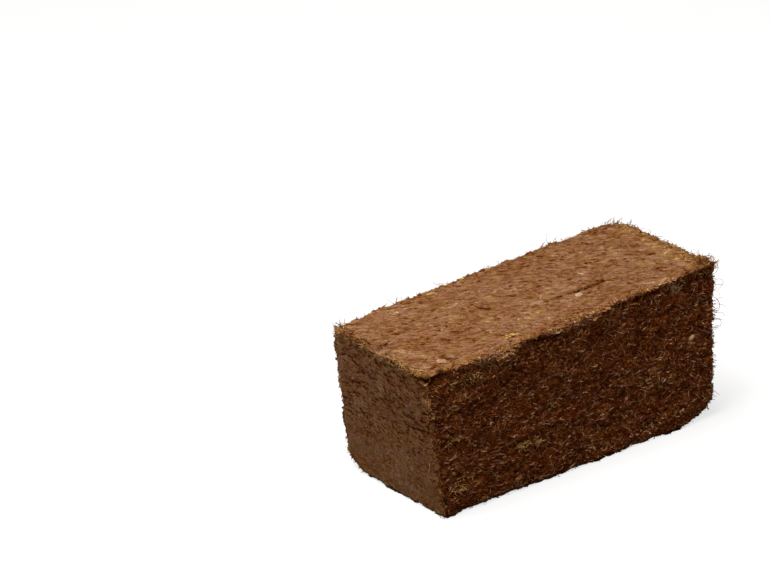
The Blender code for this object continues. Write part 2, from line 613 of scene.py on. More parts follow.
class Graph:
    """A shader node tree, with short ways to add to it."""

    def __init__(self, tree: Tree) -> None:
        """Takes the tree to add to."""
        self.tree = tree

    def add(self, kind: str, inputs: dict[Any, Any] | None = None, **settings: Any) -> bpy.types.Node:
        """Adds a node.

        Args:
            kind: The node's type, without the word ShaderNode.
            inputs: What each input gets: a socket to link, or a value.
            settings: The node's own settings.

        Returns:
            The new node.
        """
        node = self.tree.nodes.new("ShaderNode" + kind)
        for key, value in settings.items():
            setattr(node, key, value)
        self.give(node, inputs or {})
        return node

    def give(self, node: bpy.types.Node, inputs: dict[Any, Any]) -> None:
        """Links sockets to a node's inputs, or sets their values."""
        for key, value in inputs.items():
            self.put(node.inputs[key], value)

    def put(self, socket: Socket, value: Any) -> None:
        """Links a socket to an input, or sets the input's value."""
        if isinstance(value, Socket):
            self.tree.links.new(value, socket)
        else:
            socket.default_value = value

    def math(self, operation: str, *values: Any) -> Socket:
        """The result of a sum of numbers."""
        return self.add("Math", dict(enumerate(values)), operation=operation).outputs[0]

    def plus(self, first: Any, second: Any, share: float = 1.0) -> Socket:
        """The first number and a share of the second."""
        return self.math("MULTIPLY_ADD", second, share, first)

    def most(self, first: Any, second: Any, share: float = 1.0) -> Socket:
        """The larger of the first number and a share of the second."""
        return self.math("MAXIMUM", first, self.math("MULTIPLY", second, share))

    def vector(self, operation: str, *values: Any) -> Socket:
        """The result of a sum of vectors."""
        return self.add("VectorMath", dict(enumerate(values)), operation=operation).outputs[0]

    def scaled(self, vector: Any, scale: Any) -> Socket:
        """A vector made longer or shorter."""
        return self.add("VectorMath", {0: vector, "Scale": scale}, operation="SCALE").outputs[0]

    def value(self, name: str) -> Socket:
        """A value that the mesh has at its points."""
        return self.add("Attribute", attribute_name=name).outputs["Fac"]

    def group(self, tree: Tree, **inputs: Any) -> Any:
        """Places a shared group, and gives its outputs."""
        node = self.add("Group", node_tree=tree)
        self.give(node, inputs)
        return node.outputs

    def rolled(self, vector: Any) -> Socket:
        """A place, turned so that the flakes of the top lie along X."""
        inputs = {"Vector": vector, "Angle": -ROLLED}
        return self.add("VectorRotate", inputs, rotation_type="Z_AXIS").outputs[0]

    def ramp(self, value: Any, low: Any, high: Any, to_low: float = 0.0, to_high: float = 1.0) -> Any:
        """A number eased from one range to another."""
        inputs = {"Value": value, "From Min": low, "From Max": high, "To Min": to_low, "To Max": to_high}
        return self.add("MapRange", inputs, interpolation_type="SMOOTHSTEP").outputs["Result"]

    def mix(self, share: Any, first: Any, second: Any, blend: str = "MIX") -> Socket:
        """A mix of two colours."""
        node = self.add("Mix", data_type="RGBA", blend_type=blend, clamp_result=False)
        self.put(node.inputs["Factor"], share)
        colours = [s for s in node.inputs if s.type == "RGBA"]
        self.put(colours[0], first)
        self.put(colours[1], second)
        return next(s for s in node.outputs if s.type == "RGBA")

    def colours(self, value: Any, stops: tuple) -> Socket:
        """A number turned into a colour of a ramp, whose stops each have a place and a colour."""
        node = self.add("ValToRGB", {0: value})
        elements = node.color_ramp.elements
        while len(elements) < len(stops):
            elements.new(0.5)
        for element, (place, colour) in zip(elements, stops):
            element.position = place
            element.color = (*colour, 1.0)
        return node.outputs["Color"]

    def noise(self, vector: Any, scale: float, detail: float = 2.0, roughness: float = 0.5) -> Any:
        """Blender's noise at a vector, from 0 to 1."""
        inputs = {"Vector": vector, "Scale": scale, "Detail": detail, "Roughness": roughness}
        return self.add("TexNoise", inputs).outputs["Fac"]

    def wander(self, vector: Any, scale: float, reach: Any) -> Socket:
        """A place, moved about by noise."""
        noise = self.add("TexNoise", {"Vector": vector, "Scale": scale, "Detail": 2.0}).outputs["Color"]
        away = self.scaled(self.vector("SUBTRACT", noise, (0.5, 0.5, 0.5)), reach)
        return self.vector("ADD", vector, away)


def shader_group(name: str, *outputs: str, **usual: Any) -> tuple[Graph, Any, Any]:
    """Starts a node group, whose first input is a place named Vector.

    Args:
        name: The group's name.
        outputs: Its outputs, which are numbers but for one named Color.
        usual: The usual value of each other input. A tuple makes a vector input.

    Returns:
        The group's graph, its input node's outputs and its output node's inputs.
    """
    tree = bpy.data.node_groups.new(name, "ShaderNodeTree")
    for label, value in {"Vector": (0.0, 0.0, 0.0), **usual}.items():
        kind = "NodeSocketVector" if isinstance(value, tuple) else "NodeSocketFloat"
        tree.interface.new_socket(label, in_out="INPUT", socket_type=kind).default_value = value
    for label in outputs:
        kind = "NodeSocketColor" if label == "Color" else "NodeSocketFloat"
        tree.interface.new_socket(label, in_out="OUTPUT", socket_type=kind)
    start, end = (tree.nodes.new("NodeGroup" + kind) for kind in ("Input", "Output"))
    return Graph(tree), start.outputs, end.inputs


class SharedGroups:
    """The node groups that several materials use, each made once."""

    def __init__(self) -> None:
        """Makes all the groups."""
        self.flakes = self.make_flakes()
        self.mottle = self.make_mottle()
        self.strands = self.make_strands()
        self.streaks = self.make_streaks()
        self.strokes = self.make_strokes()
        self.cracks = self.make_cracks()
        self.painted_contact_shade = self.make_painted_contact_shade()
        self.colour = self.make_colour()

    @staticmethod
    def make_flakes() -> Tree:
        """Pressed flakes: irregular cells, each with a tint and a height, with gaps between."""
        usual = {"Size": (0.003, 0.0015, 0.0007), "Warp": 0.001, "Gap": 0.1}
        graph, given, result = shader_group("coir flakes", "Tint", "Gap", "Height", **usual)
        place = graph.wander(given["Vector"], 260.0, given["Warp"])
        place = graph.vector("DIVIDE", place, given["Size"])
        cell = graph.add("TexVoronoi", {"Vector": place, "Scale": 1.0}, feature="F1")
        rim = graph.add("TexVoronoi", {"Vector": place, "Scale": 1.0}, feature="DISTANCE_TO_EDGE")
        parts = graph.add("SeparateColor", {0: cell.outputs["Color"]})
        gap = graph.ramp(rim.outputs["Distance"], 0.0, given["Gap"], 1.0, 0.0)
        level = graph.plus(graph.math("MULTIPLY", parts.outputs[1], 0.7), gap, -0.8)
        graph.put(result["Tint"], parts.outputs[0])
        graph.put(result["Gap"], gap)
        graph.put(result["Height"], level)
        return graph.tree

    @staticmethod
    def make_mottle() -> Tree:
        """Lighter and darker patches, from -1 to 1, shared by the skin and what lies on it."""
        graph, given, result = shader_group("coir mottle", "Fac")
        wide = graph.noise(given["Vector"], 60.0, *ROUGH)
        small = graph.noise(graph.vector("ADD", given["Vector"], (3.1, 4.7, 1.9)), 300.0)
        wide, small = (graph.ramp(part, *CORE, -0.5, 0.5) for part in (wide, small))
        graph.put(result["Fac"], graph.plus(wide, small))
        return graph.tree

    @staticmethod
    def make_strands() -> Tree:
        """Thin curly lines, broken into pieces, where fibres lie in the surface."""
        usual = {"Size": (0.006, 0.006, 0.003), "Width": 0.02, "Share": 0.5}
        graph, given, result = shader_group("coir strands", "Mask", **usual)
        place = graph.vector("DIVIDE", given["Vector"], given["Size"])
        curl = graph.noise(place, 1.0, 1.5, 0.4)
        off = graph.math("ABSOLUTE", graph.math("SUBTRACT", curl, 0.5))
        line = graph.ramp(off, 0.0, given["Width"], 1.0, 0.0)
        shown = graph.noise(graph.vector("ADD", place, (7.3, 1.9, 4.1)), 1.7, 1.0)
        edge = graph.math("SUBTRACT", 1.0, given["Share"])
        here = graph.ramp(shown, edge, graph.math("ADD", edge, 0.06))
        graph.put(result["Mask"], graph.math("MULTIPLY", line, here))
        return graph.tree

    @staticmethod
    def make_streaks() -> Tree:
        """Streaks of the pressed matter, from -1 to 1, along the way that it was rolled."""
        graph, given, result = shader_group("coir streaks", "Fac", Size=(0.0050, 0.0013, 0.0011))
        place = graph.vector("DIVIDE", graph.rolled(given["Vector"]), given["Size"])
        streak = graph.noise(place, 1.0, 2.5, 0.55)
        graph.put(result["Fac"], graph.ramp(streak, 0.28, 0.72, -1.0, 1.0))
        return graph.tree

    @staticmethod
    def make_strokes() -> Tree:
        """Short dark strokes in clusters, where flakes have come off the pressed faces."""
        graph, given, result = shader_group("coir strokes", "Mask")
        place = graph.rolled(graph.wander(given["Vector"], 160.0, 0.0055))
        lump = graph.noise(graph.vector("DIVIDE", place, (0.0048, 0.0018, 0.0018)), 1.0, 1.5)
        cluster = graph.ramp(graph.noise(given["Vector"], 85.0), 0.36, 0.60, 0.15, 1.0)
        mask = graph.math("MULTIPLY", graph.ramp(lump, 0.44, 0.31), cluster)
        graph.put(result["Mask"], mask)
        return graph.tree

    def make_cracks(self) -> Tree:
        """Thin dark cracks between the layers, as the ends have, fewest near the floor."""
        graph, given, result = shader_group("coir cracks", "Mask")
        place = given["Vector"]
        level = {"Size": (0.011, 0.009, 0.0026), "Width": 0.060, "Share": 0.58}
        cross = {"Size": (0.006, 0.0045, 0.0055), "Width": 0.044, "Share": 0.46}
        long, short = (graph.group(self.strands, Vector=place, **sizes)["Mask"] for sizes in (level, cross))
        both = graph.most(long, short, 0.6)
        height = graph.add("SeparateXYZ", {0: place}).outputs["Z"]
        graph.put(result["Mask"], graph.math("MULTIPLY", both, graph.ramp(height, 0.020, 0.045, 0.25, 1.0)))
        return graph.tree

    @staticmethod
    def make_painted_contact_shade() -> Tree:
        """Painted contact shadow: how dark the bale is made low down, where it meets the floor."""
        graph, given, result = shader_group("coir foot", "Shade")
        height = graph.add("SeparateXYZ", {0: given["Vector"]}).outputs["Z"]
        graph.put(result["Shade"], graph.ramp(height, *FLOOR_SHADE, 0.0, 0.9))
        return graph.tree

    @staticmethod
    def make_colour() -> Tree:
        """Coir's colours, from dark pith to straw. The hue drifts a little from place to place. Shade darkens
        the colour towards the darkest, for painted shade in gaps and hollows and where the bale meets the
        floor, as well as for dark marks, cracks and grit.
        """
        usual = {"Tint": 0.5, "Rust": 0.0, "Gold": 0.0, "Shade": 0.0}
        graph, given, result = shader_group("coir colour", "Color", **usual)
        ramps = (COIR_TANS, COIR_RUSTS, COIR_GOLDS)
        tan, rust, gold = (graph.colours(given["Tint"], stops) for stops in ramps)
        colour = graph.mix(given["Gold"], graph.mix(given["Rust"], tan, rust), gold)
        drift = graph.noise(given["Vector"], 140.0)
        hue = graph.mix(graph.ramp(drift, *CORE), YELLOWER, ROSIER)
        colour = graph.mix(1.0, colour, hue, "MULTIPLY")
        graph.put(result["Color"], graph.mix(given["Shade"], colour, DARKEST))
        return graph.tree


YELLOWER = (0.985, 1.025, 0.87, 1.0)
ROSIER = (1.01, 0.985, 1.16, 1.0)
COIR_TANS = (
    (0.00, (0.070, 0.014, 0.001)),
    (0.30, (0.150, 0.055, 0.014)),
    (0.55, (0.235, 0.112, 0.050)),
    (0.80, (0.300, 0.159, 0.080)),
    (0.92, (0.360, 0.203, 0.108)),
    (1.00, (0.560, 0.370, 0.232)),
)
COIR_GOLDS = (
    (0.00, (0.078, 0.016, 0.001)),
    (0.50, (0.285, 0.128, 0.029)),
    (1.00, (0.930, 0.590, 0.180)),
)
COIR_RUSTS = (
    (0.00, (0.085, 0.011, 0.0005)),
    (0.35, (0.225, 0.050, 0.010)),
    (0.65, (0.385, 0.135, 0.040)),
    (0.85, (0.540, 0.265, 0.128)),
    (1.00, (0.850, 0.530, 0.300)),
)
# the colour towards which painted shade, dark marks, cracks and grit darken coir
DARKEST = (0.020, 0.0026, 0.0002, 1.0)
STROKE_RUST = 0.6  # how rusty strokes and cracks are
ROLLED = math.radians(-33)  # way along the top in which its flakes mostly lie, from the X axis
FLOOR_SHADE = (0.0030, 0.0008)  # heights between which the bale is darkened with painted contact shadow where it meets the floor


def principled(name: str, roughness: float, specular: float) -> tuple[Material, Graph, Any]:
    """Starts a material.

    Args:
        name: The material's name.
        roughness: Its usual roughness.
        specular: Its specular level.

    Returns:
        The material, its graph and its Principled shader.
    """
    material = bpy.data.materials.new(name)
    material.use_nodes = True
    graph = Graph(material.node_tree)
    shader = next(n for n in graph.tree.nodes if n.type == "BSDF_PRINCIPLED")
    shader.inputs["Roughness"].default_value = roughness
    shader.inputs["Specular IOR Level"].default_value = specular
    return material, graph, shader


@dataclass(frozen=True)
class SkinFinish:
    """The finish of the bale's skin: pressed flakes, with torn pith on the long sides."""

    large_flake: Triple = (0.0036, 0.0017, 0.0010)
    small_flake: Triple = (0.0015, 0.0008, 0.0005)
    torn_flake: Triple = (0.0024, 0.0016, 0.0009)
    base_tint: float = 0.10  # the lightness of a pressed face without what follows
    large_tint: float = 0.24  # how much lighter the lightest large flakes are
    small_tint: float = 0.12
    streakiness: float = 0.18
    patchiness: float = 0.20
    stroke_depth: float = 0.60  # how much darker the strokes are
    crack_depth: float = 0.55
    crack_shade: float = 0.45
    wall_tint: float = 0.06  # how much lighter the ends are
    fibre_tint: float = 0.2
    mark_tint: float = 0.5
    torn_tint: float = 0.45
    torn_patchiness: float = 0.12
    large_gap: float = 0.22  # how dark the painted shade in the gaps between the large flakes is; the next two are the same for the small flakes and the torn crumbs
    small_gap: float = 0.08
    torn_gap: float = 0.45
    mark_shade: float = 0.82
    mark_range: tuple[float, float] = (-0.25, -0.6)  # tones from which and at which marks are dark
    # how dark the painted shade is where the torn relief is deepest
    pit_shade: float = 0.78
    bump: float = 0.0005
    roughness: tuple[float, float] = (0.86, 0.98)

    def pressed(self, graph: Graph, shared: SharedGroups, place: Any) -> tuple[Any, Any]:
        """The look of the pressed faces.

        Args:
            graph: The material's graph.
            shared: The shared node groups.
            place: Where on the bale.

        Returns:
            The colour and the height.
        """
        large = graph.group(shared.flakes, Vector=place, Size=self.large_flake, Warp=0.0022)
        small = graph.group(shared.flakes, Vector=place, Size=self.small_flake, Warp=0.0010)
        pale = graph.group(shared.strands, Vector=place, Width=0.022, Share=0.50)["Mask"]
        mottle = graph.group(shared.mottle, Vector=place)["Fac"]
        streak = graph.group(shared.streaks, Vector=place)["Fac"]
        fine = graph.noise(place, 1500.0, *ROUGH)
        wall, mark = graph.value("wall"), graph.value("mark")
        crack = graph.math("MULTIPLY", graph.group(shared.cracks, Vector=place)["Mask"], wall)
        stroke = graph.group(shared.strokes, Vector=place)["Mask"]
        stroke = graph.math("MULTIPLY", stroke, graph.ramp(wall, 0.0, 1.0, 1.0, 0.25))

        tint = graph.plus(graph.ramp(fine, *MOST, 0.18, 0.32), self.base_tint)
        for part, share in (
            (large["Tint"], self.large_tint),
            (small["Tint"], self.small_tint),
            (streak, self.streakiness),
            (mottle, self.patchiness),
            (stroke, -self.stroke_depth),
            (wall, self.wall_tint),
            (crack, -self.crack_depth),
            (pale, self.fibre_tint),
            (mark, self.mark_tint),
        ):
            tint = graph.plus(tint, part, share)
        # Painted shade in the gaps between flakes, with the dark cracks and the dark marks, which under the
        # front's lip are painted shadow as well
        ragged = graph.ramp(fine, *MOST, 0.3, -0.3)
        dark = graph.ramp(graph.plus(mark, ragged), *self.mark_range)
        gaps = graph.math("MULTIPLY", large["Gap"], self.large_gap)
        gaps = graph.most(gaps, small["Gap"], self.small_gap)
        gaps = graph.most(gaps, crack, self.crack_shade)
        gaps = graph.most(gaps, dark, self.mark_shade)
        rust = graph.most(graph.ramp(mottle, -0.6, 0.6, 0.3, 0.0), graph.most(stroke, crack), STROKE_RUST)
        gold = graph.math("MULTIPLY", graph.value("rim"), graph.ramp(fine, *CORE, 0.2, 0.9))
        colour = graph.group(shared.colour, Vector=place, Tint=tint, Rust=rust, Gold=gold, Shade=gaps)

        level = graph.math("MULTIPLY", large["Height"], 0.5)
        for part, share in ((small["Height"], 0.3), (crack, -1.0), (pale, 0.25), (fine, 0.3)):
            level = graph.plus(level, part, share)
        return colour["Color"], level

    def torn(self, graph: Graph, shared: SharedGroups, place: Any) -> tuple[Any, Any]:
        """The look of the torn sides, with painted shade that deepens with the depth of the relief and lies
        in the gaps between crumbs.

        Args:
            graph: The material's graph.
            shared: The shared node groups.
            place: Where on the bale.

        Returns:
            The colour and the height.
        """
        crumb = graph.group(shared.flakes, Vector=place, Size=self.torn_flake, Warp=0.0022)
        mottle = graph.group(shared.mottle, Vector=place)["Fac"]
        fine = graph.noise(place, 1300.0, *ROUGH)
        tint = graph.plus(graph.ramp(fine, *MOST, -0.06, 0.32), crumb["Tint"], self.torn_tint)
        tint = graph.plus(tint, mottle, self.torn_patchiness)
        # Painted shade: darker the deeper the relief is sunk, and in the gaps between crumbs
        pit_and_gap_shade = graph.ramp(graph.value("depth"), 0.0, 1.8, 0.0, self.pit_shade)
        pit_and_gap_shade = graph.most(pit_and_gap_shade, crumb["Gap"], self.torn_gap)
        colour = graph.group(shared.colour, Vector=place, Tint=tint, Rust=1.0, Shade=pit_and_gap_shade)
        return colour["Color"], graph.plus(crumb["Height"], fine, 0.6)

    def material(self, shared: SharedGroups) -> Material:
        """Makes the material.

        Args:
            shared: The shared node groups.

        Returns:
            The new material.
        """
        material, graph, shader = principled("coir skin", 0.93, 0.02)
        place = graph.add("TexCoord").outputs["Object"]
        pressed_colour, pressed_height = self.pressed(graph, shared, place)
        torn_colour, torn_height = self.torn(graph, shared, place)
        ragged = graph.ramp(graph.noise(place, 650.0, *ROUGH), *MOST, -0.35, 0.35)
        torn = graph.ramp(graph.plus(graph.value("torn"), ragged), 0.44, 0.56)
        # Painted contact shadow over the lowest few millimetres, where the bale meets the floor
        painted_contact_shade = graph.group(shared.painted_contact_shade, Vector=place)["Shade"]
        colour = graph.mix(torn, pressed_colour, torn_colour)
        parts = {"Factor": torn, "A": pressed_height, "B": torn_height}
        level = graph.add("Mix", parts, data_type="FLOAT").outputs[0]
        strength = graph.ramp(graph.math("MAXIMUM", graph.value("wall"), 0.4), 0.4, 1.0, 0.75, 0.3)
        strength = graph.most(strength, torn, 0.9)
        bump = graph.add("Bump", {"Height": level, "Distance": self.bump, "Strength": strength})
        graph.give(shader, {"Base Color": graph.mix(painted_contact_shade, colour, DARKEST), "Normal": bump.outputs["Normal"]})
        graph.put(shader.inputs["Roughness"], graph.ramp(level, 0.0, 1.0, *self.roughness))
        return material


@dataclass(frozen=True)
class LooseFinish:
    """The finish of fibres and flakes, each of which has a tint and a hue of its own.

    The grain is how many lumps of pith there are to a metre. The other fields are how strong each
    effect is.
    """

    name: str
    roughness: float
    specular: float
    grain: float
    patchiness: float
    contrast: float = 0.14
    grit: float = 0.5
    streaks: float = 0.0
    strokes: float = 0.0
    cracks: float = 0.0
    crack_shade: float = 0.4
    bump: float = 0.1 * MM

    def material(self, shared: SharedGroups) -> Material:
        """Makes the material.

        Args:
            shared: The shared node groups.

        Returns:
            The new material.
        """
        material, graph, shader = principled(self.name, self.roughness, self.specular)
        place = graph.add("TexCoord").outputs["Object"]
        tint, rust, gold = (graph.value(name) for name in ("tint", "rust", "gold"))
        pith = graph.noise(place, self.grain, *ROUGH)
        tint = graph.plus(tint, graph.ramp(pith, *MOST, -self.contrast, self.contrast))
        tint = graph.plus(tint, graph.group(shared.mottle, Vector=place)["Fac"], self.patchiness)
        if self.streaks:
            tint = graph.plus(tint, graph.group(shared.streaks, Vector=place)["Fac"], self.streaks)
        if self.strokes:
            stroke = graph.group(shared.strokes, Vector=place)["Mask"]
            tint = graph.plus(tint, stroke, -self.strokes)
            rust = graph.most(rust, stroke, STROKE_RUST)
        shade = graph.ramp(pith, 0.42, 0.30, 0.0, self.grit)
        # Painted contact shadow over the lowest few millimetres, where the bale meets the floor
        shade = graph.math("MAXIMUM", shade, graph.group(shared.painted_contact_shade, Vector=place)["Shade"])
        if self.cracks:
            crack = graph.group(shared.cracks, Vector=place)["Mask"]
            tint = graph.plus(tint, crack, -self.cracks)
            rust = graph.most(rust, crack, STROKE_RUST)
            shade = graph.most(shade, crack, self.crack_shade)
        colour = graph.group(shared.colour, Vector=place, Tint=tint, Rust=rust, Gold=gold, Shade=shade)
        bump = graph.add("Bump", {"Height": pith, "Distance": self.bump, "Strength": 0.6})
        rough = graph.ramp(pith, 0.2, 0.8, self.roughness - 0.08, self.roughness + 0.12)
        wanted = {"Base Color": colour["Color"], "Normal": bump.outputs["Normal"], "Roughness": rough}
        graph.give(shader, wanted)
        return material


# The bale


@dataclass(frozen=True)
class Mark:
    """A crack, slot or pale smear along a line on a face. Lengths are in millimetres. The dark slots under
    the front's lip are sunk, and their darkness is also painted shadow.

    The tone is -1 for the darkest and 1 for the palest.
    """

    side: Side
    line: tuple[Triple, ...]
    width: float
    sink: float
    tone: float

    def nearness(self, points: Array) -> Array:
        """How near points are to the mark.

        Args:
            points: Points in metres, shaped (n, 3).

        Returns:
            1 on the line and 0 beyond the mark's width.
        """
        off_face, core = 0.3, 0.2  # weight of lengths off the face, and the width where it is whole
        squash = np.where(np.arange(3) == self.side.axis, off_face, 1.0)
        away = np.full(len(points), np.inf)
        for start, end in zip(np.array(self.line) * MM, np.array(self.line[1:]) * MM):
            run, from_start = (end - start) * squash, (points - start) * squash
            share = np.clip(from_start @ run / (run @ run), 0, 1)
            away = np.minimum(away, np.linalg.norm(from_start - share[:, None] * run, axis=1))
        return smooth_step(away / MM, self.width, core * self.width)


def marks(side: Side, *rows: tuple) -> tuple[Mark, ...]:
    """Marks on a face, each a row of its width, sink and tone and then the points of its line."""
    return tuple(Mark(side, tuple(line), width, sink, tone) for width, sink, tone, *line in rows)


MARKS = marks(
    Side.TOP,
    (1.2, 0.5, -0.55, (7.5, -13.8, 93), (18.4, -13.8, 93.3), (25.1, -15.7, 93.5)),
    (1.5, 1.0, -0.9, (24.0, -15.6, 93.5), (30, -15.2, 93.6), (34.5, -15.6, 93.7)),
    (1.2, 0.5, -0.6, (34.0, -15.4, 93.7), (42.9, -14.8, 94.0), (52.7, -17.7, 94.3)),
    (1.5, 1.2, -0.9, (-102.4, 9.1, 88.7), (-102.3, 6.0, 89.9), (-99.8, 5.9, 89.9), (-95.7, 8.0, 89.9)),
    (2.0, 1.6, -1.0, (-97.0, 7.4, 89.9), (-93.3, 9.0, 89.9), (-91.0, 9.1, 89.9)),
    (1.4, 0.9, -0.8, (-102.0, 29.6, 89.3), (-100.6, 24.0, 89.9), (-100.7, 21.6, 89.9), (-98.4, 20.8, 89.9)),
    (1.3, 0.8, -0.75, (-98.4, 20.8, 89.9), (-98.0, 17.8, 89.9), (-98.6, 13.9, 89.9)),
    (1.3, 0.6, -0.65, (-101.5, -1.4, 89.9), (-100.1, -3.0, 89.9), (-98.5, -5.6, 89.9)),
    (1.4, 0.6, -0.65, (-102.0, -10.6, 89.6), (-101.6, -14.8, 89.9)),
    (1.2, 0.5, -0.5, (-102.4, 20.3, 88.5), (-102.4, 17.1, 88.7)),
    (4.6, 0.0, 0.42, (-92.4, -1.8, 89.9), (-88.6, -12.8, 90.2), (-84.4, -24.2, 90.4)),
    (1.8, 0.4, -0.6, (-79.2, -32.2, 90.7), (-74.5, -36.2, 90.9)),
    (5.0, 0.2, -0.16, (-3, 8.5, 92), (-7, 8.0, 92)),
    (4.5, 0.2, -0.16, (-31, -31, 92), (-37, -24, 92)),
    (4.0, 0.0, 0.4, (-3, -10, 92.5), (0, -12, 92.5)),
    (2.2, 0.7, -0.5, (-26.5, 7, 91.8), (-24, 2, 91.8)),
) + marks(
    Side.FRONT,
    # Dark marks on the front, most of them just under the top's lip: sunk into the skin, and darkened as
    # painted shadow under the lip
    (2.9, 4.2, -1.0, (-102.5, -43.0, 87.6), (-96.0, -44.2, 87.6), (-89.0, -44.6, 88.6)),
    (2.6, 1.8, -0.6, (-102.0, -43.0, 82.0), (-101.0, -43.6, 77.0)),
    (1.8, 1.4, -0.5, (-28.0, -44.4, 89.0), (-20.0, -44.4, 87.3), (-9.0, -44.4, 87.2)),
    (1.8, 1.2, -0.45, (17.0, -44.6, 88.0), (24.0, -44.6, 90.5)),
    (1.8, 1.2, -0.4, (44.0, -44.8, 90.4), (62.0, -44.9, 91.2)),
) + marks(
    Side.LEFT,
    (0.9, 0.4, -0.6, (-99.7, 32.0, 60.2), (-99.8, 26.0, 61.4), (-99.7, 21.5, 60.2), (-99.6, 15.9, 60.8)),
    (0.9, 0.3, -0.5, (-99.4, 33.5, 55.4), (-99.4, 29.0, 53.8), (-99.4, 24.0, 54.2)),
    (0.9, 0.3, -0.55, (-99.3, -14.6, 57.8), (-99.3, -21.0, 57.4), (-99.4, -27.7, 58.9)),
    (0.9, 0.4, -0.6, (-99.0, -17.9, 51.4), (-98.9, -25.0, 50.9), (-98.9, -31.0, 53.4),
     (-98.8, -38.7, 54.0)),
    (0.9, 0.3, -0.5, (-101.0, 40.0, 74.5), (-101.0, 35.0, 76.4), (-101.0, 29.0, 75.6)),
)
# Where the pressed top laps over the torn front
LAPS = marks(
    Side.FRONT,
    (4.6, 0.0, 1.0, (-62.0, -44.6, 87.0), (-43.0, -44.6, 87.3)),
    (4.2, 0.0, 1.0, (-19.0, -44.6, 89.2), (0.0, -44.6, 89.6), (18.5, -44.6, 90.4)),
)


def wall_cracks(side: Side, count: int, seed: int) -> tuple[Mark, ...]:
    """Short cracks between the layers, as the ends show.

    Args:
        side: Which end.
        count: How many cracks.
        seed: Which cracks.

    Returns:
        The cracks, which are crooked, lie nearly level and are mostly in the upper part.
    """
    rng = np.random.default_rng(seed)
    cracks = []
    for _ in range(count):
        x = side.value[1] * 100.0
        y, z = rng.uniform(-38, 38), 86 - 56 * rng.random() ** 1.3
        half, rise = rng.uniform(1.0, 4.5), rng.normal(0, 0.25)
        line = tuple((x, y + a, z + rise * a + rng.normal(0, 0.5)) for a in np.linspace(-half, half, 5))
        cracks.append(Mark(side, line, rng.uniform(0.8, 1.1), 0.35, -rng.uniform(0.3, 0.6)))
    return tuple(cracks)


ALL_MARKS = MARKS + wall_cracks(Side.LEFT, 22, 5) + wall_cracks(Side.RIGHT, 24, 6)


def mark_tone(points: Array) -> Array:
    """The tone of the marks at points, from -1 to 1, and 0 where there is none."""
    return np.clip(sum(m.tone * m.nearness(points) for m in ALL_MARKS), -1, 1)


def lap(points: Array) -> Array:
    """1 where the top laps over the front, and 0 elsewhere, with a ragged rim."""
    ragged = 1.1 + 0.9 * noise(points, 2.2 * MM, 79)
    return np.clip(sum(m.nearness(points) for m in LAPS) * ragged, 0, 1)


def golden(points: Array, room: Any) -> Array:
    """How golden the pressed matter is: most at the rims of the faces and at the top's right end.

    Args:
        points: Where it is, shaped (n, 3).
        room: How far it is from the outline of its face.

    Returns:
        Numbers from 0 to 1.
    """
    rim = smooth_step(room, 4.5 * MM, 0.9 * MM)
    end = smooth_step(points[:, 0], 86 * MM, 99 * MM) * (points[:, 2] > 88 * MM)
    return np.maximum(rim, 0.8 * end)


@dataclass(frozen=True)
class Lumps:
    """One noise of the skin's relief. The height and the width of its lumps are in millimetres."""

    height: float
    width: float | Triple
    seed: int
    octaves: int = 3

    def at(self, points: Array) -> Array:
        """The heights at points, shaped (n,)."""
        return self.height * rough_noise(points, np.multiply(self.width, MM), self.seed, self.octaves)


